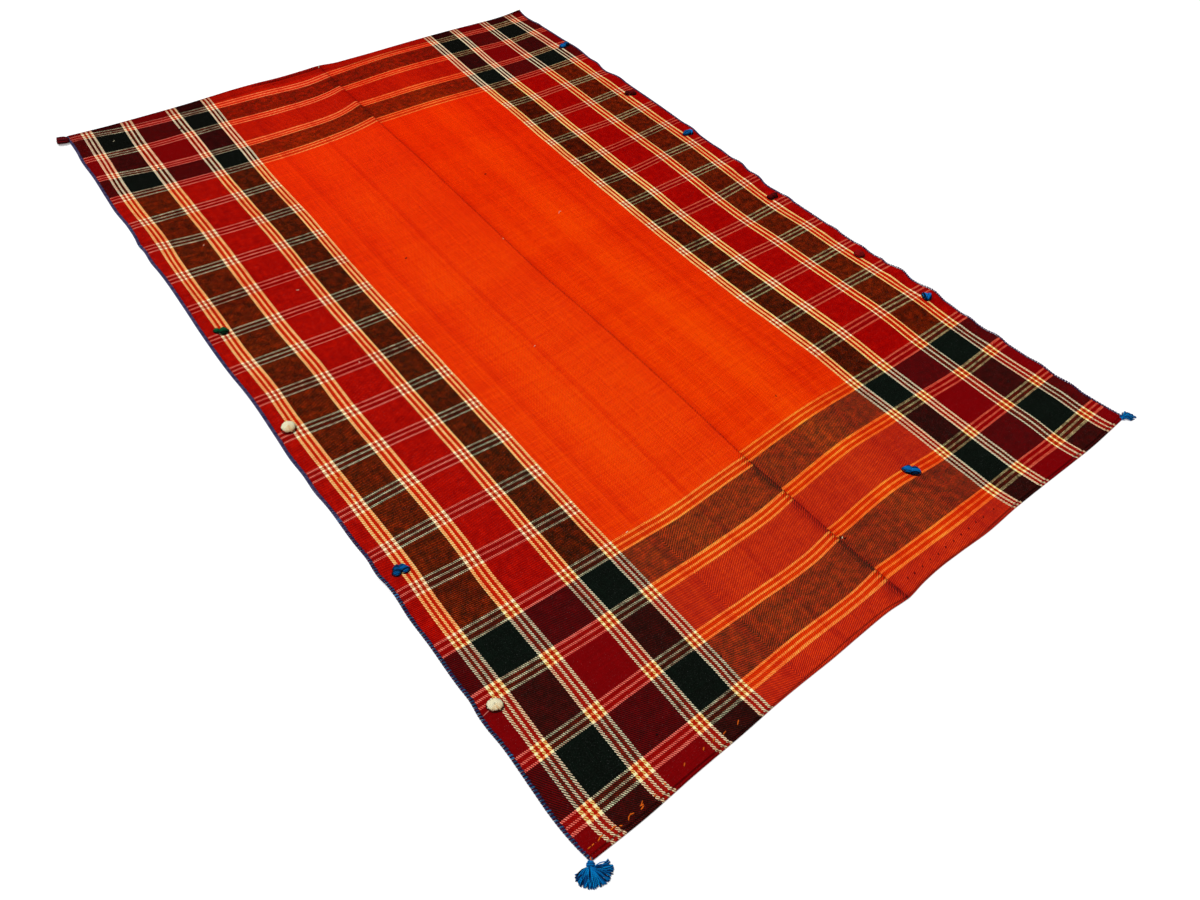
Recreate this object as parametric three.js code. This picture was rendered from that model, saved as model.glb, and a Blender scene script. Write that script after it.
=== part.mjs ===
// A jajim: a flat-woven wool rug made of two long twill lengths sewn edge to edge down the middle.
// It lies flat on the floor. Each long edge is overcast with yarn, each corner has a tassel, and
// small yarn tufts are knotted through both borders.
//
// Millimetres, +Z up. While the pieces are made, x runs across the rug from its nominal left edge
// and y runs along it from its nominal near end. The finished rug is then centred over its origin.

import * as THREE from 'three';

// ---- Driving dimensions -------------------------------------------------------------------------

const RUG_LENGTH = 2338;        // nominal, near end to far end
const SEAM_NOMINAL = 755;       // nominal distance of the seam from the left edge
const SHEET_THICKNESS = 2.2;    // one layer of the twill
const SEAM_LIFT = 0.9;          // the joined edges stand up a little along the seam
const GAP = 0.3;                // clearance between neighbouring pieces
const TUFT_CLEARANCE = 0.5;     // between a tuft's base and the cloth under it
const TASSEL_CLEARANCE = 0.6;   // between a tassel and the corner or edge that it is sewn to
const EDGING_WIDTH = 5;         // overcast yarn over each long edge
const EDGING_SIDE_HEIGHT = 2.6;
const EDGING_CROWN_HEIGHT = 3.8;
const ROW_STEP = 36;            // spacing of the sections along the rug

// Each end is turned under once. The cloth's thickness, by the distance in from the end: the rolled
// edge, the double layer, and the step down to the single layer.
const HEM_PROFILE = [
  { fromEnd: 0, thickness: 3.0 },
  { fromEnd: 4, thickness: 4.3 },
  { fromEnd: 30, thickness: 3.9 },
  { fromEnd: 35, thickness: SHEET_THICKNESS },
];

// Where the columns of a length lie, as shares of its width from the outer edge to the seam.
const COLUMN_SHARES = [0, 0.08, 0.2, 0.35, 0.52, 0.7, 0.86, 0.985, 1];

// Sections across the rug: y, then the left edge, the seam and the right edge.
const SECTIONS = [
  { y: 0, left: 10, seam: 761, right: 1531 },
  { y: 40, left: 5, seam: 758, right: 1525 },
  { y: 80, left: 1, seam: 757, right: 1521 },
  { y: 130, left: 1, seam: 755, right: 1523 },
  { y: 180, left: 1, seam: 752, right: 1520 },
  { y: 240, left: 2, seam: 751, right: 1517 },
  { y: 300, left: 4, seam: 750, right: 1516 },
  { y: 345, left: 3, seam: 749, right: 1517 },
  { y: 400, left: 4, seam: 747, right: 1515 },
  { y: 470, left: 4, seam: 748, right: 1517 },
  { y: 540, left: 7, seam: 750, right: 1519 },
  { y: 585, left: 10, seam: 751, right: 1515 },
  { y: 630, left: 5, seam: 752, right: 1521 },
  { y: 685, left: 3, seam: 752, right: 1512 },
  { y: 740, left: 3, seam: 752, right: 1514 },
  { y: 800, left: -1, seam: 753, right: 1508 },
  { y: 850, left: -1, seam: 753, right: 1510 },
  { y: 900, left: -2, seam: 752, right: 1508 },
  { y: 980, left: -2, seam: 751, right: 1507 },
  { y: 1050, left: 0, seam: 750, right: 1505 },
  { y: 1095, left: 1, seam: 749, right: 1500 },
  { y: 1150, left: 2, seam: 747, right: 1507 },
  { y: 1215, left: 3, seam: 748, right: 1512 },
  { y: 1280, left: 0, seam: 750, right: 1509 },
  { y: 1360, left: -1, seam: 751, right: 1514 },
  { y: 1440, left: -1, seam: 754, right: 1518 },
  { y: 1520, left: 2, seam: 755, right: 1519 },
  { y: 1620, left: 2, seam: 758, right: 1520 },
  { y: 1700, left: 4, seam: 760, right: 1521 },
  { y: 1760, left: 7, seam: 761, right: 1521 },
  { y: 1800, left: 6, seam: 761, right: 1521 },
  { y: 1860, left: 6, seam: 760, right: 1516 },
  { y: 1970, left: 5, seam: 762, right: 1524 },
  { y: 2050, left: 8, seam: 763, right: 1525 },
  { y: 2130, left: 10, seam: 764, right: 1525 },
  { y: 2200, left: 12, seam: 764, right: 1523 },
  { y: 2270, left: 14, seam: 765, right: 1519 },
  { y: 2338, left: 17, seam: 765, right: 1527 },
];

// The two ends, station by station across the rug: x, then the y of the near and of the far end.
const ENDS = [
  { x: 0, near: 0, far: 2340 },
  { x: 100, near: -2, far: 2334 },
  { x: 220, near: 1, far: 2333 },
  { x: 330, near: 2, far: 2334 },
  { x: 400, near: 4, far: 2338 },
  { x: 475, near: 4, far: 2342 },
  { x: 540, near: 3, far: 2342 },
  { x: 620, near: 4, far: 2338 },
  { x: 700, near: 4, far: 2340 },
  { x: 760, near: 0, far: 2342 },
  { x: 800, near: 4, far: 2334 },
  { x: 850, near: 6, far: 2333 },
  { x: 920, near: 4, far: 2333 },
  { x: 1000, near: 0, far: 2335 },
  { x: 1100, near: 2, far: 2336 },
  { x: 1200, near: 1, far: 2335 },
  { x: 1300, near: -1, far: 2332 },
  { x: 1400, near: -2, far: 2330 },
  { x: 1460, near: 0, far: 2333 },
  { x: 1530, near: 3, far: 2345 },
];

// Soft ripples that lift an edge off the floor: the y of the crest, how far it reaches in from the
// edge, its height at the edge, and how far it spreads to each side along the edge.
const RIPPLES = {
  left: [
    { y: 587, reach: 140, height: 3.0, spread: 60 },
    { y: 1160, reach: 180, height: 2.0, spread: 80 },
    { y: 1760, reach: 160, height: 2.5, spread: 70 },
  ],
  right: [
    { y: 132, reach: 120, height: 3.0, spread: 55 },
    { y: 345, reach: 100, height: 2.8, spread: 50 },
    { y: 545, reach: 400, height: 3.4, spread: 60 },
    { y: 632, reach: 70, height: 4.0, spread: 45 },
    { y: 742, reach: 80, height: 2.2, spread: 48 },
    { y: 835, reach: 80, height: 3.0, spread: 45 },
    { y: 1215, reach: 330, height: 4.4, spread: 85 },
    { y: 1440, reach: 120, height: 3.4, spread: 60 },
    { y: 1795, reach: 250, height: 4.0, spread: 55 },
    { y: 1970, reach: 110, height: 3.4, spread: 55 },
    { y: 2130, reach: 140, height: 2.6, spread: 70 },
  ],
};

// Yarn tufts on the cloth: centre, length along the tuft, width, height, turn and number of lobes.
const TUFT_SIDES = 14;
const TUFT_RINGS = 6;
const LOBE_DEPTH = 0.09;        // of the dome's half width
const TUFTS = [
  { name: 'left_1', x: 34, y: 291, long: 27, wide: 24, high: 8, turn: 20, lobes: 7, colour: 'cream' },
  { name: 'left_2', x: 41, y: 603, long: 31, wide: 23, high: 10, turn: -10, lobes: 4, colour: 'blue' },
  { name: 'left_3', x: 31, y: 1031, long: 31, wide: 26, high: 13, turn: 70, lobes: 5, colour: 'cream' },
  { name: 'left_4', x: 40, y: 1373, long: 27, wide: 20, high: 10, turn: 5, lobes: 3, colour: 'green' },
  { name: 'right_1', x: 1484, y: 526, long: 32, wide: 19, high: 10, turn: 25, lobes: 3, colour: 'blue' },
  { name: 'right_2', x: 1474, y: 739, long: 27, wide: 23, high: 10, turn: 10, lobes: 4, colour: 'red' },
  { name: 'right_3', x: 1469, y: 1050, long: 27, wide: 21, high: 10, turn: -5, lobes: 4, colour: 'red' },
  { name: 'right_4', x: 1487, y: 1420, long: 29, wide: 19, high: 10, turn: 20, lobes: 3, colour: 'blue' },
  { name: 'right_5', x: 1487, y: 1692, long: 34, wide: 19, high: 10, turn: 15, lobes: 4, colour: 'red' },
  { name: 'right_6', x: 1491, y: 2048, long: 34, wide: 18, high: 10, turn: 20, lobes: 3, colour: 'blue' },
  { name: 'middle', x: 1009, y: 191, long: 31, wide: 29, high: 10, turn: 40, lobes: 5, colour: 'blue' },
];

// Corner tassels. Each starts at a corner of the cloth, or a little way back from it on the long
// edge, and points away from it; turn is the direction it points in, in degrees from +X. A section is
// its distance from where the tassel starts, its half width and its half height.
const TASSEL_SIDES = 14;
const TASSEL_AXIS_SHARE = 0.7;  // height of a tassel's middle, as a share of its half height
const TASSELS = [
  {
    name: 'near_left', corner: ['left', 'near'], turn: 259, colour: 'blue',
    sections: [
      { along: 0, half: 5.5, rise: 3.2 },
      { along: 4, half: 6.6, rise: 5.2 },
      { along: 10, half: 6.8, rise: 5.6 },
      { along: 13, half: 10, rise: 6.2 },
      { along: 18, half: 21, rise: 7.2 },
      { along: 25, half: 27, rise: 7.4 },
      { along: 33, half: 25, rise: 6.4 },
      { along: 39, half: 17, rise: 4.6 },
      { along: 42, half: 8, rise: 2.6 },
    ],
  },
  {
    name: 'near_right', corner: ['right', 'near'], turn: 352, colour: 'blue',
    sections: [
      { along: 0, half: 4.5, rise: 3.0 },
      { along: 5, half: 8, rise: 4.6 },
      { along: 12, half: 9.5, rise: 5.4 },
      { along: 20, half: 8, rise: 4.8 },
      { along: 26, half: 4, rise: 3.0 },
      { along: 33, half: 2.2, rise: 1.8 },
    ],
  },
  {
    name: 'far_left', corner: ['left', 'far'], back: 33, clearance: 2.8, turn: 162, colour: 'red',
    sections: [
      { along: 0, half: 8, rise: 5.6 },
      { along: 5, half: 11.5, rise: 7.6 },
      { along: 14, half: 13, rise: 8.8 },
      { along: 23, half: 13, rise: 8.8 },
      { along: 27, half: 12, rise: 8 },
    ],
  },
  {
    name: 'far_right', corner: ['right', 'far'], turn: 62, colour: 'cream',
    sections: [
      { along: 0, half: 3.2, rise: 2.2 },
      { along: 4, half: 4.6, rise: 3.0 },
      { along: 9, half: 4.4, rise: 2.8 },
      { along: 13, half: 2.4, rise: 1.8 },
    ],
  },
];

const CLOTH_COLOUR = '#b02a10';
const CLOTH_ROUGHNESS = 0.95;
const EDGING_COLOUR = '#2a3a78';
const YARN_ROUGHNESS = 0.9;
const YARN_COLOURS = { blue: '#0a6fc2', red: '#6d0c14', green: '#0b6e46', cream: '#f1e4c4' };

const UP = new THREE.Vector3(0, 0, 1);

// ---- How the cloth lies -------------------------------------------------------------------------

// A smooth curve through every row of a table, as a function of its first column.
function curvesThrough(table, key, columns) {
  const stations = table.map((row) => row[key]);
  const values = table.flatMap((row) => columns.map((column) => row[column]));
  const curve = new THREE.CubicInterpolant(stations, values, columns.length);
  const [first, last] = [stations[0], stations[stations.length - 1]];
  return (station) => [...curve.evaluate(THREE.MathUtils.clamp(station, first, last))];
}

const sectionAt = curvesThrough(SECTIONS, 'y', ['left', 'seam', 'right']);
const endsAt = curvesThrough(ENDS, 'x', ['near', 'far']);

function softBump(distance, spread) {
  return distance >= spread ? 0 : 0.5 + 0.5 * Math.cos((Math.PI * distance) / spread);
}

// How far the ripples lift the cloth at y, at a distance in from the edge on one side.
function liftAt(side, y, fromEdge) {
  return RIPPLES[side].reduce((lift, ripple) => {
    const alongEdge = softBump(Math.abs(y - ripple.y), ripple.spread);
    const inFromEdge = softBump(Math.max(fromEdge, 0), ripple.reach);
    return lift + ripple.height * alongEdge * inFromEdge;
  }, 0);
}

// The y of a point that lies a share of the way from the near end to the far end.
function alongRug(x, share) {
  const [near, far] = endsAt(x);
  return THREE.MathUtils.lerp(near, far, share);
}

// The sections along the rug: each one's share of the length and the cloth's thickness there.
function rugRows() {
  const hem = HEM_PROFILE.map((step) => ({ share: step.fromEnd / RUG_LENGTH, thickness: step.thickness }));
  const first = hem[hem.length - 1].share;
  const count = Math.round((RUG_LENGTH * (1 - 2 * first)) / ROW_STEP);
  const middle = [];
  for (let row = 1; row < count; row += 1) {
    const share = THREE.MathUtils.lerp(first, 1 - first, row / count);
    middle.push({ share, thickness: SHEET_THICKNESS });
  }
  const farHem = hem.map((row) => ({ ...row, share: 1 - row.share })).reverse();
  return [...hem, ...middle, ...farHem];
}

const ROWS = rugRows();

// ---- Shapes -------------------------------------------------------------------------------------

// A box of columns by rows whose corners are moved to where place(column, row, isTop) puts them.
function gridSolid(columns, rows, place) {
  const solid = new THREE.BoxGeometry(1, 1, 1, columns, rows, 1);
  const corners = solid.attributes.position;
  const corner = new THREE.Vector3();
  for (let index = 0; index < corners.count; index += 1) {
    corner.fromBufferAttribute(corners, index);
    const column = Math.round((corner.x + 0.5) * columns);
    const row = Math.round((corner.y + 0.5) * rows);
    corners.setXYZ(index, ...place(column, row, corner.z > 0));
  }
  solid.deleteAttribute('uv');
  solid.computeVertexNormals();
  return solid;
}

// One woven length, from its outer selvedge to the seam.
function panelSolid(side) {
  const columnCount = COLUMN_SHARES.length - 1;
  return gridSolid(columnCount, ROWS.length - 1, (column, row, isTop) => {
    const { share, thickness } = ROWS[row];
    const y = share * RUG_LENGTH;
    const [left, seam, right] = sectionAt(y);
    const inset = EDGING_WIDTH + GAP;
    const [from, to] = side === 'left'
      ? [left + inset, seam - GAP / 2]
      : [seam + GAP / 2, right - inset];
    const acrossShare = side === 'left' ? COLUMN_SHARES[column] : 1 - COLUMN_SHARES[columnCount - column];
    const x = THREE.MathUtils.lerp(from, to, acrossShare);
    const fromEdge = side === 'left' ? x - left : right - x;
    const atSeam = column === (side === 'left' ? columnCount : 0);
    const top = thickness + (atSeam ? SEAM_LIFT : 0);
    return [x, alongRug(x, share), liftAt(side, y, fromEdge) + (isTop ? top : 0)];
  });
}

// The overcast yarn along one long edge: a low rounded strip beside the cloth.
function edgingSolid(side) {
  const crownColumn = 1;
  return gridSolid(2 * crownColumn, ROWS.length - 1, (column, row, isTop) => {
    const { share } = ROWS[row];
    const y = share * RUG_LENGTH;
    const [left, , right] = sectionAt(y);
    const across = (column * EDGING_WIDTH) / (2 * crownColumn);
    const x = side === 'left' ? left + across : right - EDGING_WIDTH + across;
    const fromEdge = side === 'left' ? x - left : right - x;
    const top = column === crownColumn ? EDGING_CROWN_HEIGHT : EDGING_SIDE_HEIGHT;
    return [x, alongRug(x, share), liftAt(side, y, fromEdge) + (isTop ? top : 0)];
  });
}

// A bundle of yarn lying on its side, flat underneath, drawn through a row of sections.
function bundleSolid(sections) {
  const bundle = new THREE.CylinderGeometry(1, 1, 1, TASSEL_SIDES, sections.length - 1);
  const corners = bundle.attributes.position;
  const corner = new THREE.Vector3();
  for (let index = 0; index < corners.count; index += 1) {
    corner.fromBufferAttribute(corners, index);
    const section = sections[Math.round((corner.y + 0.5) * (sections.length - 1))];
    const height = Math.max((TASSEL_AXIS_SHARE + corner.z) * section.rise, 0);
    corners.setXYZ(index, section.along, -corner.x * section.half, height);
  }
  bundle.deleteAttribute('uv');
  bundle.computeVertexNormals();
  return bundle;
}

// The top of the single layer of cloth at a place on the rug.
function clothTop(x, y) {
  const [left, , right] = sectionAt(y);
  const side = x < SEAM_NOMINAL ? 'left' : 'right';
  return SHEET_THICKNESS + liftAt(side, y, side === 'left' ? x - left : right - x);
}

// A low tuft of cut yarn: a lobed dome whose base follows the cloth that it sits on.
function tuftSolid(tuft) {
  const dome = new THREE.SphereGeometry(1, TUFT_SIDES, TUFT_RINGS);
  dome.rotateX(Math.PI / 2);
  const turn = THREE.MathUtils.degToRad(tuft.turn);
  const corners = dome.attributes.position;
  const corner = new THREE.Vector3();
  for (let index = 0; index < corners.count; index += 1) {
    corner.fromBufferAttribute(corners, index);
    const round = Math.atan2(corner.y, corner.x);
    const lobe = 1 - LOBE_DEPTH * (1 - Math.cos(tuft.lobes * round));
    const height = Math.max(corner.z, 0) * tuft.high;
    corner.set((corner.x * lobe * tuft.long) / 2, (corner.y * lobe * tuft.wide) / 2, 0);
    corner.applyAxisAngle(UP, turn);
    const [x, y] = [tuft.x + corner.x, tuft.y + corner.y];
    corners.setXYZ(index, x, y, clothTop(x, y) + TUFT_CLEARANCE + height);
  }
  dome.deleteAttribute('uv');
  dome.computeVertexNormals();
  return dome;
}

// ---- The rug ------------------------------------------------------------------------------------

function piece(name, geometry, colour, roughness) {
  const material = new THREE.MeshStandardMaterial({ color: colour, roughness, metalness: 0 });
  const mesh = new THREE.Mesh(geometry, material);
  mesh.name = name;
  return mesh;
}

// The place on the finished cloth's outline, edging included, where a tassel is sewn on.
function tasselPlace({ corner: [side, end], back = 0 }) {
  const share = end === 'near' ? back / RUG_LENGTH : 1 - back / RUG_LENGTH;
  const [left, , right] = sectionAt(share * RUG_LENGTH);
  const x = side === 'left' ? left : right;
  return new THREE.Vector3(x, alongRug(x, share), 0);
}

function tasselPiece(tassel) {
  const colour = YARN_COLOURS[tassel.colour];
  const mesh = piece(`tassel_${tassel.name}`, bundleSolid(tassel.sections), colour, YARN_ROUGHNESS);
  const turn = THREE.MathUtils.degToRad(tassel.turn);
  const away = new THREE.Vector3(Math.cos(turn), Math.sin(turn), 0);
  const { clearance = TASSEL_CLEARANCE } = tassel;
  mesh.position.copy(tasselPlace(tassel)).addScaledVector(away, clearance);
  mesh.rotation.z = turn;
  return mesh;
}

function tuftPiece(tuft) {
  return piece(`tuft_${tuft.name}`, tuftSolid(tuft), YARN_COLOURS[tuft.colour], YARN_ROUGHNESS);
}

const rug = new THREE.Group();
for (const side of ['left', 'right']) {
  rug.add(piece(`panel_${side}`, panelSolid(side), CLOTH_COLOUR, CLOTH_ROUGHNESS));
  rug.add(piece(`edging_${side}`, edgingSolid(side), EDGING_COLOUR, YARN_ROUGHNESS));
}
TASSELS.forEach((tassel) => rug.add(tasselPiece(tassel)));
TUFTS.forEach((tuft) => rug.add(tuftPiece(tuft)));

const box = new THREE.Box3().setFromObject(rug, true);
const middle = box.getCenter(new THREE.Vector3());
rug.position.set(-middle.x, -middle.y, -box.min.z);
rug.updateMatrixWorld(true);

export default rug;
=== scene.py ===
"""A jajim rug laid flat: two plaid twill lengths sewn down the middle, long edges overcast with
yarn, a tassel at each corner and small yarn tufts. The 3D view's sidebar lists the steps."""

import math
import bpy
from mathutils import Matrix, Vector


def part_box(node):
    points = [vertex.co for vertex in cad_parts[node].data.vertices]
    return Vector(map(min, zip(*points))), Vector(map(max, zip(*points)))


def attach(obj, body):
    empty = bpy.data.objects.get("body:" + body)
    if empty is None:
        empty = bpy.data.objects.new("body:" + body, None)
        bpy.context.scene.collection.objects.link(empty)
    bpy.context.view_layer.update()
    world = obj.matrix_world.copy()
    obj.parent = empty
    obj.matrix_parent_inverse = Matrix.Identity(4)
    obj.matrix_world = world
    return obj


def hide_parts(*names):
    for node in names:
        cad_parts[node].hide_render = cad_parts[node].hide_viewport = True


bl_info = {
    "name": "Jajim Rug",
    "version": (1, 0, 0),
    "blender": (4, 5, 0),
    "location": "View3D > Sidebar > Jajim Rug",
    "description": "Makes a flat-woven plaid rug of two sewn lengths, and a plain stage for it",
    "category": "Add Mesh",
}

from types import SimpleNamespace

import bpy
import numpy as np
from bpy.props import FloatProperty, FloatVectorProperty, PointerProperty
from mathutils import Matrix, Vector

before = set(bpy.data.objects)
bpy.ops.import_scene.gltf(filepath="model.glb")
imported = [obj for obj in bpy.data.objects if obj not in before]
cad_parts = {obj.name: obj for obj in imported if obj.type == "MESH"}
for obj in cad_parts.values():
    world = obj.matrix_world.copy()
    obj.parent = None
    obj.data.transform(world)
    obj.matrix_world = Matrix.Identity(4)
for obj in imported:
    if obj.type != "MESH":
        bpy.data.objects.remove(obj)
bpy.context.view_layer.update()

# ---- The cloth's own sizes, in millimetres --------------------------------------------------------
# Across is counted in the cloth from the nominal left edge, and along from the near end, as woven.
# The tables give where the finished cloth lies, from the same corner, as it is seen from the camera
# against the floor.

MM = 0.001
CLOTH_LENGTH = 2338.0
SEAM = 755.0
CLOTH_WIDTH = 1520.0
SEAM_GAP = 0.3
SHEET = 2.2                 # one layer of the twill
SEAM_LIFT = 0.9

# The camera stands here, from the middle of the nominal rug, in metres.
NOMINAL_MIDDLE = (760.0, 1168.8, 0.0)
CAMERA_PLACE = (-1.0323, -1.4033, 1.3853)
CAMERA_RIGHT = (0.78112, -0.62118, 0.06300)
CAMERA_UP = (0.44741, 0.62726, 0.63747)
EYE = tuple(middle + place / MM for middle, place in zip(NOMINAL_MIDDLE, CAMERA_PLACE))

# The finished cloth's long edges and its seam: along, across. The ripples push the right edge out.
LEFT_EDGE = [
    (0, 8), (30, 3), (90, -1), (140, 0), (230, 1), (258, -1), (285, -1), (315, 2), (350, 1), (450, 2),
    (500, 1), (590, 3), (612, 0), (660, 2), (700, 0), (810, -1), (850, -4), (900, -3), (955, -5),
    (1010, -3), (1170, 0), (1235, -3), (1400, -3), (1500, 0), (1650, 1), (1690, -1), (1740, 1),
    (1770, -1), (1800, 2), (1850, 4), (1940, 1), (2000, 3), (2110, 7), (2200, 7), (2240, 10), (2338, 12),
]
SEAM_LINE = [
    (0, 761), (40, 758), (80, 757), (180, 752), (300, 750), (400, 747), (540, 750), (630, 752),
    (800, 753), (980, 751), (1150, 747), (1280, 750), (1440, 754), (1620, 758), (1760, 761),
    (1860, 760), (2050, 763), (2338, 765),
]
RIGHT_EDGE = [
    (0, 1534), (60, 1526), (110, 1522), (180, 1520), (290, 1517), (370, 1515), (430, 1515), (470, 1518),
    (570, 1516), (670, 1513), (720, 1511), (790, 1509), (950, 1507), (1050, 1504), (1090, 1500),
    (1130, 1504), (1180, 1508), (1270, 1513), (1370, 1515), (1480, 1521), (1700, 1525), (1810, 1523),
    (1838, 1517), (1860, 1518), (1900, 1522), (1990, 1527), (2130, 1526), (2200, 1523), (2290, 1517),
    (2338, 1527),
]
RIPPLE_PUSH = 1.8           # how far out a ripple pushes the right edge, for its height

# The two ends, station by station across the rug.
ENDS = [
    # across, near end, far end
    (0, 0, 2340), (100, -2, 2334), (220, 1, 2333), (330, 2, 2334), (400, 4, 2338),
    (475, 4, 2342), (540, 3, 2342), (620, 4, 2338), (700, 4, 2340), (760, 0, 2342),
    (800, 4, 2334), (850, 6, 2333), (920, 4, 2333), (1000, 0, 2335), (1100, 2, 2336),
    (1200, 1, 2335), (1300, -1, 2332), (1400, -2, 2330), (1460, 0, 2333), (1530, 3, 2345),
]

# Soft ripples that lift an edge: along, reach in from the edge, height at the edge, spread.
RIPPLES = {
    "left": [(587, 140, 3.0, 60), (1160, 180, 2.0, 80), (1760, 160, 2.5, 70)],
    "right": [
        (132, 100, 2.8, 40), (212, 90, 2.6, 40), (332, 90, 3.8, 38), (411, 80, 2.8, 30),
        (530, 400, 6.0, 48), (630, 90, 6.4, 42), (691, 60, 2.4, 20), (754, 70, 2.4, 32),
        (848, 80, 2.4, 32), (1020, 80, 2.4, 32), (1140, 90, 3.8, 42), (1216, 330, 4.4, 44),
        (1300, 80, 1.0, 40), (1432, 120, 3.2, 50), (1785, 250, 2.0, 45), (1895, 90, 3.2, 42),
        (2010, 120, 2.6, 85), (2218, 70, 1.2, 25),
    ],
}

# Where the middles of the four warp stripe groups of each length lie, along the rug.
LEFT_STRIPES = {
    "woven": (50.5, 156.5, 282.5, 380.5),
    "rows": [
        (5, 61, 162, 287, 386), (25, 55, 159, 285, 385), (60, 52.5, 156.5, 283, 381),
        (125, 50, 156.5, 282, 380), (300, 50, 157.5, 281, 378), (500, 48, 155, 278, 374.5),
        (600, 51, 159, 279, 373.5), (700, 50, 158.5, 279.5, 374), (850, 47, 155.5, 279.5, 374),
        (1050, 45, 153, 278, 374), (1150, 47, 155.5, 278.5, 373.5), (1300, 42.5, 151.5, 276.5, 372.5),
        (1450, 44.5, 152.5, 279, 374.5), (1550, 43.5, 154.5, 282, 377), (1650, 44.5, 157, 283.5, 380),
        (1750, 50, 158, 283, 379), (1950, 47.5, 158.5, 284.5, 382), (2050, 49.5, 160, 287.5, 387),
        (2150, 55, 161.5, 291.5, 390), (2250, 60, 164.5, 293.5, 395.5), (2320, 63.5, 170, 295.5, 398.5),
    ],
}
RIGHT_STRIPES = {
    "woven": (1105.5, 1204.5, 1341.5, 1467),
    "rows": [
        (10, 1115, 1212, 1346, 1474), (25, 1112, 1210, 1343, 1471), (60, 1107, 1205, 1340, 1467.5),
        (120, 1106, 1204.5, 1343, 1467.5), (180, 1105.5, 1204, 1341, 1465),
        (300, 1107, 1205, 1340, 1459.5), (430, 1104, 1205, 1340.5, 1460),
        (550, 1108, 1209.5, 1347.5, 1465), (650, 1105.5, 1207, 1345, 1461.5),
        (790, 1100.5, 1203, 1340.5, 1454.5), (900, 1100, 1200.5, 1339, 1454),
        (1010, 1101, 1201, 1333, 1446), (1140, 1103, 1203, 1336, 1451),
        (1250, 1107, 1208.5, 1343.5, 1458), (1370, 1110, 1210, 1349, 1464),
        (1550, 1117.5, 1216.5, 1350.5, 1466), (1650, 1121, 1219, 1352, 1467),
        (1800, 1129, 1226, 1357.5, 1470), (1950, 1133, 1229.5, 1359.5, 1473),
        (2150, 1141.5, 1239.5, 1360.5, 1470.5), (2230, 1147, 1246, 1363, 1467),
        (2320, 1151, 1250, 1365.5, 1465),
    ],
}

# Where the weft stripe groups lie: four at each end, and twelve between them that cross only the
# borders. Woven is the place in the cloth, and the rest are the finished places at the stations.
WEFT_STATIONS = {"left": (25, 157, 380, 525, 700, 748), "right": (765, 950, 1105, 1204, 1340, 1500)}
END_GROUPS = (61.0, 182.0, 306.0, 423.0)
BAR_STEP = 114.8
BAR_COUNT = 12
WEFT_PLACES = [
    # left length, right length
    ((59, 59, 59, 62, 61, 64), (67, 62, 60, 60, 58, 64)),
    ((180, 178, 176, 172, 172, 178), (184, 193, 183, 184, 186, 190)),
    ((308, 300, 294, 291, 294, 299), (305, 318, 314, 312, 307, 314)),
    ((423, 417, 410, 404, 411, 412), (425, 434, 431, 429, 430, 433)),
    ((554, 544, 530, 525, 532, 534), (552, 562, 557, 558, 558, 553)),
    ((657, 656, 645, 640, 648, 651), (671, 680, 676, 676, 676, 675)),
    ((769, 772, 761, 756, 765, 769), (782, 791, 785, 786, 786, 788)),
    ((888, 884, 872, 867, 877, 882), (898, 906, 901, 902, 899, 902)),
    ((1012, 998, 987, 982, 993, 999), (1007, 1015, 1008, 1007, 1008, 1017)),
    ((1132, 1119, 1107, 1102, 1114, 1121), (1133, 1140, 1133, 1131, 1133, 1144)),
    ((1244, 1233, 1220, 1215, 1229, 1236), (1247, 1255, 1247, 1248, 1252, 1254)),
    ((1358, 1348, 1335, 1330, 1345, 1353), (1362, 1369, 1361, 1359, 1368, 1372)),
    ((1480, 1472, 1455, 1450, 1466, 1475), (1484, 1491, 1482, 1480, 1486, 1496)),
    ((1605, 1595, 1577, 1572, 1589, 1598), (1603, 1609, 1600, 1599, 1598, 1608)),
    ((1743, 1719, 1703, 1698, 1716, 1727), (1722, 1728, 1717, 1716, 1716, 1726)),
    ((1854, 1843, 1830, 1825, 1843, 1855), (1842, 1847, 1838, 1835, 1838, 1840)),
    ((1982, 1966, 1950, 1947, 1965, 1978), (1965, 1965, 1955, 1952, 1952, 1958)),
    ((2093, 2066, 2050, 2046, 2061, 2081), (2069, 2070, 2061, 2057, 2056, 2064)),
    ((2195, 2179, 2174, 2164, 2172, 2186), (2177, 2188, 2182, 2176, 2169, 2180)),
    ((2312, 2290, 2278, 2273, 2266, 2275), (2277, 2292, 2287, 2284, 2278, 2281)),
]

# Warp stripes of each length, from left to right. A group is three pale lines with two red gaps.
# The last number of a band is how much more of the weft shows on it than elsewhere. Over is the
# same for the pale lines: everywhere, where they cross a darker weft, and by the far end.
WARP_BANDS = {
    "left": {
        "from": 0.0, "to": SEAM, "first": ("crimson", 0.0), "over": (-0.14, 0.15, -0.66),
        "groups": [
            # middle, spacing of the lines, width of a line, the band that follows
            (50.5, 11.6, 5.3, ("green", -0.04)), (156.5, 12.6, 5.5, ("crimson", 0.0)),
            (282.5, 12.2, 5.4, ("green", -0.13)), (380.5, 10.7, 4.8, ("orange", 0.0)),
        ],
    },
    "right": {
        "from": SEAM, "to": CLOTH_WIDTH, "first": ("orange", 0.0), "over": (-0.42, -0.02, -0.4),
        "groups": [
            (1105.5, 11.0, 4.2, ("green", -0.15)), (1204.5, 12.0, 4.5, ("crimson", -0.06)),
            (1341.5, 14.5, 4.8, ("green", -0.03)), (1467.0, 13.5, 4.7, ("crimson", -0.06)),
        ],
    },
}
WEFT_GROUP = (12.6, 4.9)    # spacing and width of the pale lines in the end groups
BAR_GROUP = (12.6, 4.4)     # and in the twelve bars across the borders
WEFT_BANDS = ("crimson", "green", "crimson", "green", "orange_weft")
WEFT_BANDS_REACH = 500.0    # beyond this, in from an end, there is only the last of them
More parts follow.
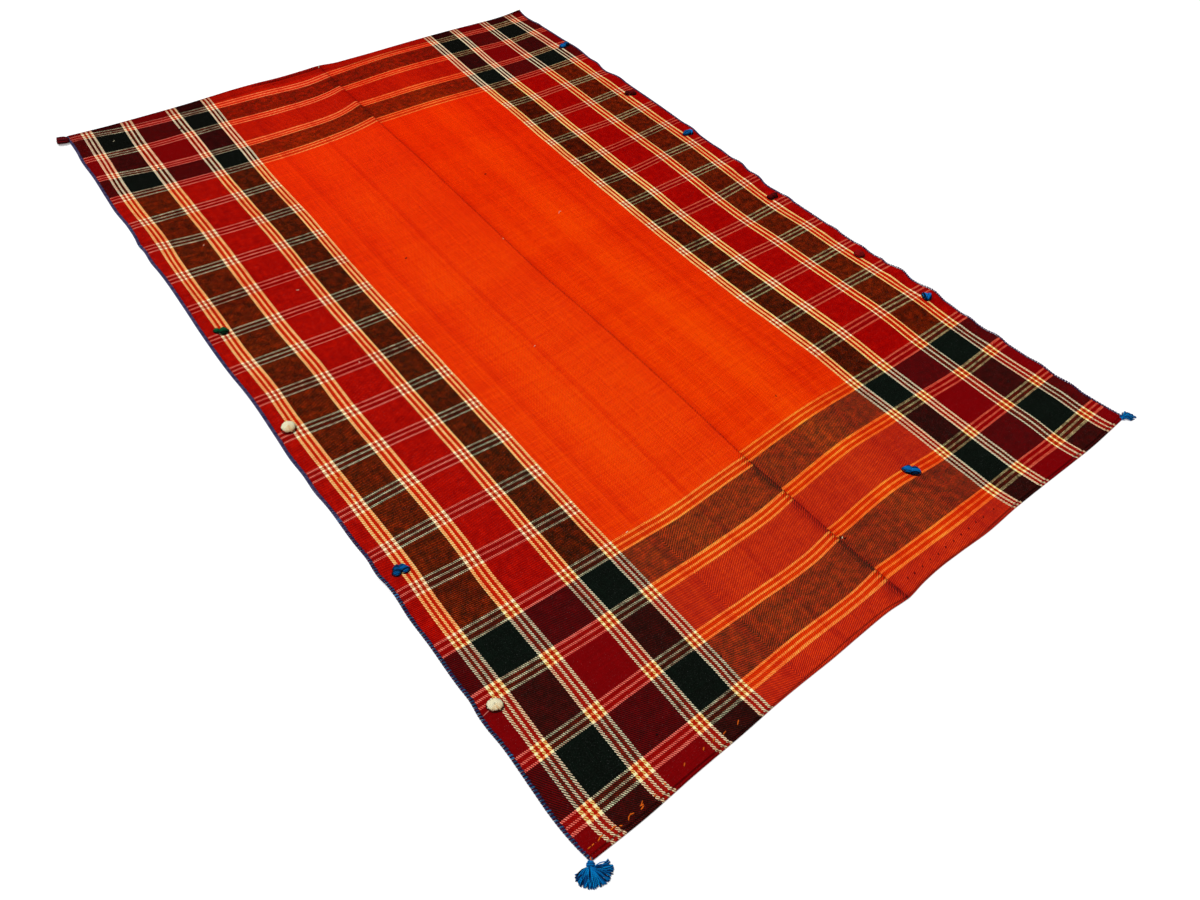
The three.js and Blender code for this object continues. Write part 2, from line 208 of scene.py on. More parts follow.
BAR_LIMITS = (392.5, 1094.0)    # the bars stop here, at the innermost line of each border
TWILL_TURNS = (475.0, 1020.0)   # the twill leans the other way between these ends

# How the face looks: the mean of the threads' height, how much more than its share the darker
# thread shows, how far the threads wander, the light that pale lines add where they cross and the
# most there can be, dust on dark cells, and what the right length's bright weft lacks.
MEAN_HEIGHT = 0.59
DARKER_THREAD_EXCESS = 0.19
THREAD_WANDER = 3.0
CROSSING_LIGHT = (0.2, 0.3, 0.22)
CROSSING_LIMIT = (1.0, 0.93, 0.62)
DUST = (0.03, 0.035, 0.03)
RIGHT_RED_SHIFT = (0.0, 0.0032, 0.0012)
SEEN_FLOOR = 0.055          # a colour as it is seen is turned into light with these two
SEEN_GAMMA = 2.4
YARN_TWIST = 5.0 * MM       # a plied yarn turns once in this length

# Tone along the cloth's width and length, from about -1, darker and redder, to 1, lighter.
# Across the width the tone is partly the yarn's own unevenness and partly painted shade along the
# lengthwise creases and the seam.
STREAKS = [
    (395, -0.4), (431, -0.3), (447, 0.3), (462, -1.0), (474, -0.2), (500, 0.0), (540, 0.5),
    (583, 0.1), (591, -0.9), (600, 0.1), (640, 0.1), (660, -0.1), (700, 0.2), (735, -0.2),
    (748, -0.2), (753, -0.7), (758, -0.7), (765, -0.3), (785, 0.1), (820, -0.4), (850, 0.1),
    (885, -0.3), (905, 0.6), (945, 0.5), (975, 0.0), (993, -0.4), (1010, -1.1), (1027, -0.3),
    (1044, -1.0), (1060, -0.7), (1085, -0.9), (1100, -0.3),
]
BARS_OF_TONE = [
    (0, 0.0), (420, 0.0), (520, -0.5), (560, 0.1), (640, 0.2), (772, 0.4), (830, 0.0), (892, 0.4),
    (913, -0.5), (935, 0.2), (1060, 0.1), (1130, -0.4), (1160, -0.2), (1210, 0.5), (1270, 0.4),
    (1350, 0.0), (1450, -0.4), (1500, -0.6), (1545, 0.0), (1640, 0.3), (1715, -0.4), (1760, -0.2),
    (1800, 0.1), (2338, 0.0),
]
# How the warp's green and blue change along the cloth, falling towards the far end.
WARP_GREEN_ALONG = [(0, 0.92), (430, 1.06), (900, 1.0), (1500, 0.9), (1900, 0.76), (2100, 0.55), (2338, 0.48)]

# Each end is folded under. Distance in from the end, top of the cloth, underside of the cloth.
HEM_PROFILE = [
    (0, 1.3, 0.6), (1.2, 2.9, 0.1), (3.0, 3.8, 0.0), (7, 4.1, 0.0), (14, 3.9, 0.0),
    (29, 3.8, 0.0), (34, 2.4, 0.0), (42, SHEET, 0.0),
]

# The groove that the sewing draws in each hem, also darkened with painted shade: across, distance in from
# the end, width, depth.
HEM_GROOVES = {
    "near": [
        (0, 7, 2.6, 0.8), (60, 7, 2.8, 1), (250, 6, 2.8, 1), (330, 4, 2.4, 0.8), (400, 2.5, 2.4, 0.8),
        (470, 3, 2.4, 0.9), (520, 5, 2.2, 1), (580, 8, 2.2, 1), (700, 7, 2.2, 1), (745, 4, 2.4, 1),
        (770, 3, 2.8, 0.9), (830, 1.8, 2.8, 0.9), (950, 2, 3.0, 0.9), (1020, 5, 3.4, 0.9),
        (1100, 5.5, 3.8, 1), (1280, 6, 3.6, 1), (1380, 7, 3.2, 1), (1530, 7, 3.0, 0.8),
    ],
    "far": [
        (0, 9, 3, 0.1), (500, 13, 3, 0.1), (545, 16, 3, 0.7), (600, 17, 3, 1), (740, 17, 3, 1),
        (775, 17, 3, 0.1), (1530, 12, 3, 0.1),
    ],
}

# The overcast yarn: where it starts, how far in it reaches, its radius, how far in the cloth stops
# under it, where bright stitches show, tints of its two yarns at the near and the far end, and how
# far beyond the cloth's edge each of the two reaches.
OVERCAST_PITCH = 3.1
OVERCAST_BRIGHT_REACH = 5.0
OVERCAST = {
    "left": {
        "start": 4.0, "reach": 6.2, "radius": 1.6, "inset": 4.6,
        "bright": (96, 199, 560, 765, 1762, 1838), "blue": (0.24, 0.56), "purple": (0.88, 0.52),
        "beyond": (0.0, 0.4),
    },
    "right": {
        "start": 4.0, "reach": 5.2, "radius": 1.4, "inset": 3.0,
        "bright": (10, 590, 1000), "blue": (0.6, 0.6), "purple": (0.76, 0.68),
        "beyond": (1.5, 2.2),
    },
}

# Running stitches over the near hem: across, along, length, turn in degrees.
RUNNING_STITCHES = [
    (11, 3.5, 5, 62), (19, 17, 5, 0), (26, 17, 4, 10), (38, 17.5, 6, 25), (43, 19, 6, 0),
    (64, 17.5, 8, 5), (68, 17, 5, -10), (77, 12.5, 4, -30), (93, 13.5, 6, 50), (97, 16, 7, 20),
    (102, 15.5, 5, -15), (120, 13, 7, 15), (122, 16.5, 6, -10), (124, 19, 7, 30), (148, 15, 5, 15),
    (172, 19, 4, 80), (217, 23, 5, 40), (259, 23, 5, 40), (283, 24, 6, 20), (305, 22, 7, 10),
    (335, 21, 9, 35),
]

# Dark stitches that dimple the near hem of the right length: across, along. Their dark tint also paints the
# shade in the dimples.
DIMPLES = [
    (793, 29), (812, 27.5), (837, 28), (862, 29), (885, 27), (910, 28.5), (935, 28), (960, 29),
    (985, 28.5), (1010, 29.5), (1033, 28), (1067, 27.5),
]
WHIPPED = (545.0, 757.0)    # the far hem is whipped down between these places
WHIPPED_DEPTH = 16.0        # and this far in from the end

# What the seam does to the cloth beside it.
END_ZONE = 432.0            # the end stripes reach this far in, and the gathers are stronger there
GATHER_REACH = 28.0         # how far from the seam the cloth is gathered
PUCKER_REACH = 46.0         # how far from the seam the near hem puckers
PUCKER_MIDDLE = 27.0        # where the pucker is deepest, in from the near end
PUCKER_SPREAD = 30.0        # and how far it goes on to either side of that
FURROW_PITCH = 5.2
SEAM_SHADOW_REACH = 16.0

# The far right corner is folded, which only painted shade shows: from this place across, and this far in at
# the second place.
FLAP_START = 1458.0
FLAP_PLACE = 1500.0
FLAP_REACH = 34.0
LEAST_SHEET = 0.8           # the cloth is nowhere thinner than this
DARKEST_SHADE = 0.12        # and no part of it is darker

# Creases that lie as soft troughs and ridges: from (across, along), to, half width, height.
CREASES = [
    ((588, 380), (592, 1180), 16, -0.8), ((592, 1180), (586, 1900), 14, -0.7),
    ((463, 420), (462, 1900), 10, -0.7), ((476, 700), (478, 1500), 12, 0.5),
    ((905, 420), (906, 1250), 16, 0.6), ((1015, 430), (1012, 1900), 9, -0.7),
    ((1030, 500), (1032, 1500), 10, 0.5), ((520, 1176), (745, 1184), 16, -0.9),
    ((790, 900), (1080, 930), 18, -0.6), ((420, 1490), (740, 1502), 20, -0.6),
    ((560, 505), (1080, 520), 20, -0.5), ((1130, 1240), (1500, 1215), 26, -0.6),
]

# Tufts: colour, how the yarn lies, how dark it is, and each lobe's middle, half length, turn in
# degrees, half width and height.
TUFTS = {
    "left_1": ("white", "rosette", 0.0, [(31.6, 285.2, 14.5, -41, 11.4, 6.5)]),
    "left_2": ("blue", "loops", 0.2, [
        (30.6, 598.1, 8.2, -20, 7.3, 6.5), (35.4, 606.0, 7.8, -25, 6.4, 6.5),
        (46.4, 595.2, 9.0, -6, 7.0, 6.5), (43.6, 602.0, 8.8, 6, 6.4, 7.5),
    ]),
    "left_3": ("white", "dome", 0.0, [(29.4, 1026.7, 14.5, -14, 15.5, 10)]),
    "left_4": ("leaf", "loops", 0.0, [
        (28.7, 1377.8, 9.5, -58, 5.6, 6), (40.2, 1368.5, 11.4, -16, 10.4, 8),
    ]),
    "right_1": ("blue", "loops", 0.0, [
        (1477.2, 525.6, 14.2, -123, 7, 8), (1484.5, 519.6, 15.0, -155, 7.0, 8),
    ]),
    "right_2": ("crimson", "dome", -0.15, [(1475.4, 737.0, 13.7, -51, 14, 5)]),
    "right_3": ("crimson", "loops", 0.25, [
        (1459.6, 1046.6, 11, -92, 7.5, 7), (1474.8, 1046.2, 10.4, -82, 10.6, 8.5),
    ]),
    "right_4": ("blue", "loops", 0.0, [
        (1484.8, 1417.6, 18, 6, 9.4, 8), (1494.8, 1415.4, 11.5, -105, 7.7, 8),
    ]),
    "right_5": ("crimson", "loops", 0.25, [
        (1483.3, 1691.5, 12.7, -3, 10.6, 7.5), (1498.4, 1686.5, 11, -28, 12.5, 8),
    ]),
    "right_6": ("blue", "loops", 0.0, [
        (1492.0, 2042.7, 14.6, 5, 9.8, 7.5), (1508.7, 2045.6, 14.0, 7, 9.4, 7.5),
    ]),
    "middle": ("blue", "loops", 0.1, [
        (1001.0, 196.0, 13.5, -56, 9.0, 8.6), (1009.0, 185.4, 14.0, -42, 10.0, 9.2),
    ]),
}

# ---- Settings that a user may change ----------------------------------------------------------------


def yarn_colour(name, red, green, blue):
    """A dyed yarn's colour as it is seen, from three numbers up to 255."""
    return FloatVectorProperty(
        name=name, description=f"Dyed colour of the {name.lower()}, as seen",
        subtype="COLOR_GAMMA", size=3, min=0.0, max=1.0,
        default=(red / 255, green / 255, blue / 255),
    )


class JajimYarns(bpy.types.PropertyGroup):
    """Colours of the yarns."""

    crimson: yarn_colour("Crimson yarn", 119, 2, 6)
    green: yarn_colour("Dark green yarn", 10, 17, 12)
    orange: yarn_colour("Orange warp", 238, 68, 3)
    orange_weft: yarn_colour("Orange weft", 228, 52, 5)
    cream: yarn_colour("Cream yarn", 255, 243, 200)
    warm_cream: yarn_colour("Cream weft of the right length", 255, 222, 158)
    scarlet: yarn_colour("Scarlet yarn", 172, 32, 10)
    sewing_orange: yarn_colour("Orange sewing yarn", 255, 112, 24)
    sewing_red: yarn_colour("Dark red sewing yarn", 104, 4, 8)
    blue: yarn_colour("Blue tuft yarn", 8, 112, 196)
    red: yarn_colour("Dark red tuft yarn", 104, 6, 16)
    white: yarn_colour("Cream tuft yarn", 255, 244, 205)
    leaf: yarn_colour("Green tuft yarn", 8, 108, 60)
    edging_blue: yarn_colour("Blue edging yarn", 58, 128, 186)
    edging_navy: yarn_colour("Navy edging yarn", 36, 42, 92)
    edging_lavender: yarn_colour("Lavender edging yarn", 100, 92, 134)
    edging_purple: yarn_colour("Purple edging yarn", 74, 22, 62)


class JajimWeave(bpy.types.PropertyGroup):
    """Sizes of the weave."""

    end_width: FloatProperty(
        name="Warp pitch", description="Width of one warp thread", default=1.0 * MM,
        min=0.2 * MM, max=5 * MM, subtype="DISTANCE", unit="LENGTH", precision=5,
    )
    pick_width: FloatProperty(
        name="Weft pitch", description="Width of one weft thread", default=1.51 * MM,
        min=0.2 * MM, max=5 * MM, subtype="DISTANCE", unit="LENGTH", precision=5,
    )
    relief: FloatProperty(
        name="Relief", description="Depth between the threads", default=0.35 * MM,
        min=0.0, max=2 * MM, subtype="DISTANCE", unit="LENGTH", precision=5,
    )
    weft_share: FloatProperty(
        name="Weft share", description="Share of the face that the weft shows",
        default=0.425, min=0.0, max=1.0, subtype="FACTOR",
    )
    float_contrast: FloatProperty(
        name="Float contrast", description="How far each float shows its own thread's colour",
        default=0.3, min=0.0, max=0.5, subtype="FACTOR",
    )
    # How strong the painted shade in the furrows between the threads is.
    depth: FloatProperty(
        name="Furrow depth", description="How dark the furrows between threads look",
        default=0.45, min=0.0, max=1.0, subtype="FACTOR",
    )


class JajimStage(bpy.types.PropertyGroup):
    """Light and view."""

    key_strength: FloatProperty(
        name="Key light", description="Strength of the soft key light", default=2.15, min=0.0,
    )
    sky_strength: FloatProperty(
        name="Fill light", description="Strength of the even light all round", default=0.46, min=0.0,
    )
    lens: FloatProperty(
        name="Lens", description="Focal length of the camera", default=26.25, min=1.0,
        subtype="DISTANCE_CAMERA", unit="CAMERA",
    )


def yarns():
    return bpy.context.scene.jajim_yarns


def weave():
    return bpy.context.scene.jajim_weave


# ---- Where the cloth lies ---------------------------------------------------------------------------


def smooth(stations, values, at):
    """Smooth curves through the rows of a table, read at any places between them."""
    stations = np.asarray(stations, float)
    values = np.asarray(values, float)
    gaps = np.diff(stations).reshape((-1,) + (1,) * (values.ndim - 1))
    rises = np.diff(values, axis=0) / gaps
    inner = (gaps[1:] * rises[:-1] + gaps[:-1] * rises[1:]) / (gaps[1:] + gaps[:-1])
    slopes = np.concatenate([rises[:1], inner, rises[-1:]])
    at = np.clip(np.asarray(at, float), stations[0], stations[-1])
    row = np.clip(np.searchsorted(stations, at) - 1, 0, len(stations) - 2)
    gap = gaps[row]
    share = ((at - stations[row]).reshape(gap.shape)) / gap
    rest = 1 - share
    return (
        values[row] * (1 + 2 * share) * rest**2 + slopes[row] * gap * share * rest**2
        + values[row + 1] * (3 - 2 * share) * share**2 - slopes[row + 1] * gap * share**2 * rest
    )


def columns_of(table):
    """A table of rows as its first column and the rest."""
    rows = np.array(table, float)
    return rows[:, 0], rows[:, 1:]


def edges_at(along):
    """The left edge, the seam and the right edge at places along the rug."""
    lines = [smooth(*columns_of(table), along)[:, 0] for table in (LEFT_EDGE, SEAM_LINE, RIGHT_EDGE)]
    lines[2] = lines[2] + RIPPLE_PUSH * lift_at("right", along, 0.0)
    return np.stack(lines, axis=-1)


def ends_at(across):
    """The near and the far end at places across the rug."""
    return smooth(*columns_of(ENDS), across)


def soft_bump(distance, spread):
    return np.where(distance < spread, 0.5 + 0.5 * np.cos(np.pi * distance / spread), 0.0)


def fade(distance, reach):
    """1 at no distance, falling smoothly to 0 at reach."""
    share = np.clip(1 - distance / reach, 0, 1)
    return share * share * (3 - 2 * share)


def lift_at(side, along, from_edge):
    """How far the ripples lift the cloth."""
    lift = np.zeros_like(np.asarray(along, float) + np.asarray(from_edge, float))
    for crest, reach, height, spread in RIPPLES[side]:
        in_from_edge = soft_bump(np.maximum(from_edge, 0), reach)
        lift = lift + height * soft_bump(np.abs(along - crest), spread) * in_from_edge
    return lift


def woven_rows():
    """The woven places of the end groups and bars, from the near end to the far one."""
    bars = [END_GROUPS[-1] + BAR_STEP * (bar + 1) for bar in range(BAR_COUNT)]
    far_groups = [CLOTH_LENGTH - place for place in reversed(END_GROUPS)]
    return [*END_GROUPS, *bars, *far_groups]


def place_along(side, across, along):
    """The finished places, along the rug, of a grid of woven columns and rows."""
    half = 0 if side == "left" else 1
    places = np.array([row[half] for row in WEFT_PLACES], float)
    lines = smooth(WEFT_STATIONS[side], places.T, across).T
    near_far = ends_at(across)
    stations = [0.0, *woven_rows(), CLOTH_LENGTH]
    return smooth(stations, np.vstack([near_far[:, 0], lines, near_far[:, 1]]), along)


def place_across(side, across, finished_along):
    """The finished places, across the rug, of a grid of woven columns and rows."""
    flat = finished_along.ravel()
    left, seam, right = edges_at(flat).T
    table = LEFT_STRIPES if side == "left" else RIGHT_STRIPES
    middles = smooth(*columns_of(table["rows"]), flat)
    if side == "left":
        woven = [0.0, *table["woven"], SEAM]
        lines = np.column_stack([left, middles, seam - SEAM_GAP / 2])
    else:
        woven = [SEAM, *table["woven"], CLOTH_WIDTH]
        lines = np.column_stack([seam + SEAM_GAP / 2, middles, right])
    places = np.empty_like(finished_along)
    lines = lines.reshape(finished_along.shape + (len(woven),))
    for column, place in enumerate(across):
        index = min(max(int(np.searchsorted(woven, place)) - 1, 0), len(woven) - 2)
        share = (place - woven[index]) / (woven[index + 1] - woven[index])
        places[:, column] = lines[:, column, index] * (1 - share) + lines[:, column, index + 1] * share
    return places


def nominal_corner():
    """The nominal near left corner in the frame, from a tuft whose place in the cloth is known."""
    lowest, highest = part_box("tuft_left_2")
    tuft = Vector((41.0, 603.0, 0.0)) * MM
    middle = (lowest + highest) / 2
    return Vector((middle.x - tuft.x, middle.y - tuft.y, 0.0))


CORNER = nominal_corner()


def in_frame(across, along, height, seen_at=None):
    """Points of the finished cloth in the frame, in metres. A raised point lies nearer to the camera
    than the place where it is seen against the floor."""
    across, along, height = np.broadcast_arrays(across, along, height)
    points = np.stack([across, along, height], axis=-1).astype(float)
    share = np.asarray(height if seen_at is None else seen_at, float)[..., None] / EYE[2]
    points[..., :2] += (np.array(EYE[:2]) - points[..., :2]) * share
    return points * MM + np.array(CORNER)


def plan(points):
    """Points whose true places are known, in the frame."""
    return np.asarray(points, float) * MM + np.array(CORNER)


def cloth_top(across, along):
    """The height of the cloth's top at places on the finished rug."""
    across, along = np.broadcast_arrays(np.asarray(across, float), np.asarray(along, float))
    left, _, right = edges_at(along.ravel()).T.reshape((3,) + along.shape)
    near, far = ends_at(across.ravel()).T.reshape((2,) + across.shape)
    on_left = across < SEAM
    lift = np.where(
        on_left, lift_at("left", along, across - left), lift_at("right", along, right - across)
    )
    distances, profile = columns_of(HEM_PROFILE)
    return np.interp(np.minimum(along - near, far - along), distances, profile[:, 0]) + lift


# ---- Meshes -----------------------------------------------------------------------------------------


def new_piece(name, points, faces, uv, uv_name, attributes, material):
    """An object at the origin from points, faces, a UV for each point and named point values."""
    mesh = bpy.data.meshes.new(name)
    mesh.from_pydata(np.asarray(points).tolist(), [], faces)
    layer = mesh.uv_layers.new(name=uv_name)
    corner_points = np.empty(len(mesh.loops), np.int32)
    mesh.loops.foreach_get("vertex_index", corner_points)
    layer.data.foreach_set("uv", np.asarray(uv, np.float32)[corner_points].ravel())
    for key, values in attributes.items():
        attribute = mesh.attributes.new(key, "FLOAT", "POINT")
        attribute.data.foreach_set("value", np.asarray(values, np.float32))
    mesh.polygons.foreach_set("use_smooth", np.ones(len(mesh.polygons), bool))
    mesh.materials.append(material)
    mesh.validate()
    piece = bpy.data.objects.new(name, mesh)
    bpy.context.scene.collection.objects.link(piece)
    return piece


def closed_sheet(top, bottom):
    """The points and faces of a closed sheet between two grids of points."""
    rows, columns = top.shape[:2]
    count = rows * columns
    number = np.arange(count).reshape(rows, columns)
    quads = np.stack(
        [number[:-1, :-1], number[:-1, 1:], number[1:, 1:], number[1:, :-1]], axis=-1
    ).reshape(-1, 4)
    faces = [*quads.tolist(), *(quads[:, ::-1] + count).tolist()]
    rim = [*number[0, :], *number[1:, -1], *number[-1, -2::-1], *number[-2:0:-1, 0]]
    for here, there in zip(rim, rim[1:] + rim[:1]):
        faces.append([int(here), int(here + count), int(there + count), int(there)])
    return np.concatenate([top.reshape(-1, 3), bottom.reshape(-1, 3)]), faces


def yarn_strands(name, strands, material, sides=6):
    """One joined mesh of closed yarn strands. A strand is its points and radii, in metres, and a
    tint; its UV runs along it in metres and once round it."""
    points, faces, uv, tints = [], [], [], []
    turns = np.arange(sides) * 2 * math.pi / sides
    for path, radii, tint in strands:
        path = np.asarray(path, float)
        radii = np.broadcast_to(radii, len(path))
        ahead = np.gradient(path, axis=0)
        ahead /= np.linalg.norm(ahead, axis=1, keepdims=True) + 1e-12
        side = np.cross(ahead, (0.0, 0.0, 1.0))
        flat = np.linalg.norm(side, axis=1) < 1e-4
        side[flat] = np.cross(ahead[flat], (1.0, 0.0, 0.0))
        for step in range(1, len(path)):
            side[step] = side[step - 1] - ahead[step] * np.dot(side[step - 1], ahead[step])
        side /= np.linalg.norm(side, axis=1, keepdims=True) + 1e-12
        up = np.cross(side, ahead)
        steps = np.linalg.norm(np.diff(path, axis=0), axis=1)
        reached = np.concatenate([[0.0], np.cumsum(steps)])
        base = len(points)
        for step in range(len(path)):
            for turn in turns:
                spoke = side[step] * math.cos(turn) + up[step] * math.sin(turn)
                points.append(path[step] + spoke * radii[step])
                uv.append((reached[step], turn / (2 * math.pi)))
                tints.append(tint)
        for step in range(len(path) - 1):
            for turn in range(sides):
                following = (turn + 1) % sides
                near = base + step * sides
                far = near + sides
                faces.append([near + turn, near + following, far + following, far + turn])
        last = base + (len(path) - 1) * sides
        faces.append([base + turn for turn in reversed(range(sides))])
        faces.append([last + turn for turn in range(sides)])
    return new_piece(name, points, faces, uv, "yarn", {"tint": tints}, material)


# ---- Materials --------------------------------------------------------------------------------------


class Reading:
    """A number that varies over the surface, or a colour or place. Arithmetic with it adds nodes."""

    def __init__(self, wire, socket, is_vector):
        self.wire = wire
        self.socket = socket
        self.is_vector = is_vector

    def __add__(self, other):
        return self.wire.work_out("ADD", self, other)

    def __radd__(self, other):
        return self.wire.work_out("ADD", other, self)

    def __sub__(self, other):
        return self.wire.work_out("SUBTRACT", self, other)

    def __rsub__(self, other):
        return self.wire.work_out("SUBTRACT", other, self)

    def __mul__(self, other):
        return self.wire.work_out("MULTIPLY", self, other)

    def __rmul__(self, other):
        return self.wire.work_out("MULTIPLY", other, self)

    def __truediv__(self, other):
        return self.wire.work_out("DIVIDE", self, other)

    def __pow__(self, other):
        return self.wire.work_out("POWER", self, other)

    def __mod__(self, other):
        return self.wire.work_out("FLOORED_MODULO", self, other)

    def __lt__(self, other):
        return self.wire.work_out("LESS_THAN", self, other)

    def __gt__(self, other):
        return self.wire.work_out("GREATER_THAN", self, other)

    def __abs__(self):
        return self.wire.work_out("ABSOLUTE", self)

    def clamped(self):
        """Keeps the number that was just worked out between 0 and 1."""
        self.socket.node.use_clamp = True
        return self


class Wiring:
    """Adds nodes to a tree and joins them up."""

    def __init__(self, tree):
        self.tree = tree

    def add(self, kind, **settings):
        node = self.tree.nodes.new(kind)
        for key, value in settings.items():
            setattr(node, key, value)
        return node

    def read(self, socket):
        return Reading(self, socket, socket.type in ("VECTOR", "RGBA"))

    def feed(self, socket, value):
        """Joins a socket, or sets its value."""
        if isinstance(value, Reading):
            self.tree.links.new(value.socket, socket)
        else:
            socket.default_value = value

    def work_out(self, operation, *values):
        """One step of arithmetic, on numbers or, if any value is one, on vectors."""
        if any(is_vector(value) for value in values):
            return self.work_out_vector(operation, *values)
        node = self.add("ShaderNodeMath", operation=operation)
        for socket, value in zip(node.inputs, values):
            self.feed(socket, value)
        return self.read(node.outputs[0])

    def work_out_vector(self, operation, *values):
        numbers = [value for value in values if not is_vector(value)]
        if operation == "MULTIPLY" and numbers:
            node = self.add("ShaderNodeVectorMath", operation="SCALE")
            self.feed(node.inputs["Scale"], numbers[0])
            values = [value for value in values if is_vector(value)]
        else:
            node = self.add("ShaderNodeVectorMath", operation=operation)
        for socket, value in zip(node.inputs, values):
            self.feed(socket, (value,) * 3 if isinstance(value, (int, float)) else value)
        return self.read(node.outputs[0])

    def combine(self, x, y, z=0.0):
        node = self.add("ShaderNodeCombineXYZ")
        for socket, value in zip(node.inputs, (x, y, z)):
            self.feed(socket, value)
        return self.read(node.outputs[0])

    def split(self, vector):
        node = self.add("ShaderNodeSeparateXYZ")
        self.feed(node.inputs[0], vector)
        return [self.read(socket) for socket in node.outputs]

    def mix(self, share, first, second):
        """From the first colour, where share is 0, to the second."""
        node = self.add("ShaderNodeMix", data_type="RGBA")
        for index, value in zip((0, 6, 7), (share, first, second)):
            self.feed(node.inputs[index], value)
        return self.read(node.outputs[2])

    def between(self, share, first, second):
        """From the first number, where share is 0, to the second."""
        node = self.add("ShaderNodeMix", data_type="FLOAT")
        for index, value in zip((0, 2, 3), (share, first, second)):
            self.feed(node.inputs[index], value)
        return self.read(node.outputs[0])

    def ramp(self, place, stops, interpolation="LINEAR"):
        """Colours or numbers by place from 0 to 1."""
        node = self.add("ShaderNodeValToRGB")
        band = node.color_ramp
        band.interpolation = interpolation
        while len(band.elements) < len(stops):
            band.elements.new(1.0)
        are_numbers = isinstance(stops[0][1], (int, float))
        for element, (start, value) in zip(band.elements, stops):
            element.position = start
            element.color = (value, value, value, 1.0) if are_numbers else (*value, 1.0)
        self.feed(node.inputs[0], place)
        return Reading(self, node.outputs[0], not are_numbers)

    def noise(self, vector, scale, detail=2.0, roughness=0.5, output="Fac"):
        node = self.add("ShaderNodeTexNoise")
        self.feed(node.inputs["Vector"], vector)
        node.inputs["Scale"].default_value = scale
        node.inputs["Detail"].default_value = detail
        node.inputs["Roughness"].default_value = roughness
        return self.read(node.outputs[output])

    def scatter(self, number):
        """A random tone for each whole number."""
        node = self.add("ShaderNodeTexWhiteNoise", noise_dimensions="1D")
        self.feed(node.inputs["W"], number)
        return self.read(node.outputs["Value"])

    def uv(self, name):
        return self.read(self.add("ShaderNodeUVMap", uv_map=name).outputs[0])

    def attribute(self, name):
        return self.read(self.add("ShaderNodeAttribute", attribute_name=name).outputs["Fac"])

    def place(self, group, **values):
        """A copy of a node group, with its inputs named as its sockets are."""
        node = self.add("ShaderNodeGroup", node_tree=group)
        for key, value in values.items():
            self.feed(node.inputs[key.replace("_", " ").title()], value)
        return {socket.name: self.read(socket) for socket in node.outputs}

    def bump(self, shader, height, strength, distance):
        node = self.add("ShaderNodeBump")
        node.inputs["Strength"].default_value = strength
        node.inputs["Distance"].default_value = distance
        self.feed(node.inputs["Height"], height)
        self.tree.links.new(node.outputs[0], shader.inputs["Normal"])


def is_vector(value):
    return value.is_vector if isinstance(value, Reading) else isinstance(value, tuple)


def lowest(first, second):
    return first.wire.work_out("MINIMUM", first, second)


def highest(*readings):
    highest_yet = readings[0]
    for reading in readings[1:]:
        highest_yet = highest_yet.wire.work_out("MAXIMUM", highest_yet, reading)
    return highest_yet


def new_material(name, roughness, specular):
    """A material, its wiring and its shader."""
    material = bpy.data.materials.new(name)
    material.use_nodes = True
    shader = material.node_tree.nodes["Principled BSDF"]
    shader.inputs["Roughness"].default_value = roughness
    shader.inputs["Specular IOR Level"].default_value = specular
    return material, Wiring(material.node_tree), shader


def new_group(name, inputs, outputs):
    """An empty shader node group with named sockets: the group, its wiring, what it is given and
    the node that takes its results. An input's or output's kind is Float or Color."""
    group = bpy.data.node_groups.new(name, "ShaderNodeTree")
    for in_out, sockets in (("INPUT", inputs), ("OUTPUT", outputs)):
        for socket, kind in sockets.items():
            group.interface.new_socket(name=socket, in_out=in_out, socket_type=f"NodeSocket{kind}")
    wire = Wiring(group)
    given = wire.add("NodeGroupInput").outputs
    return group, wire, {name: wire.read(given[name]) for name in inputs}, wire.add("NodeGroupOutput")


def thread_grid_group():
    """Which thread of a 2/2 twill shows at a place in the cloth, and the round form of its float.
    Lean is 0 where the twill's lines lean left and 1 where they lean right."""
    group, wire, given, result = new_group(
        "thread grid",
        dict.fromkeys(("Across", "Along", "End Width", "Pick Width", "Lean"), "Float"),
        dict.fromkeys(("End", "Pick", "Warp Up", "Height"), "Float"),
    )
    ends = given["Across"] / given["End Width"]
    picks = given["Along"] / given["Pick Width"]
    end, in_end = wire.work_out("FLOOR", ends), wire.work_out("FRACT", ends)
    pick, in_pick = wire.work_out("FLOOR", picks), wire.work_out("FRACT", picks)
    step = (pick * (1 - 2 * given["Lean"]) + end) % 4
    warp_up = step < 1.5
    along_warp = (wire.between(given["Lean"], step, 1 - step) + in_pick) * 0.5
    along_weft = (step - 2 + in_end) * 0.5

    def dome(place):
        return place * (1 - place) * 4

    def float_form(across_thread, along_thread):
        ends_down = (1 - dome(along_thread)) ** 2
        return dome(across_thread) ** 0.6 * (1 - ends_down)

    height = wire.between(
        warp_up, float_form(in_pick, along_weft), float_form(in_end, along_warp)
    )
    for name, value in (("End", end), ("Pick", pick), ("Warp Up", warp_up), ("Height", height)):
        wire.feed(result.inputs[name], value)
    return group


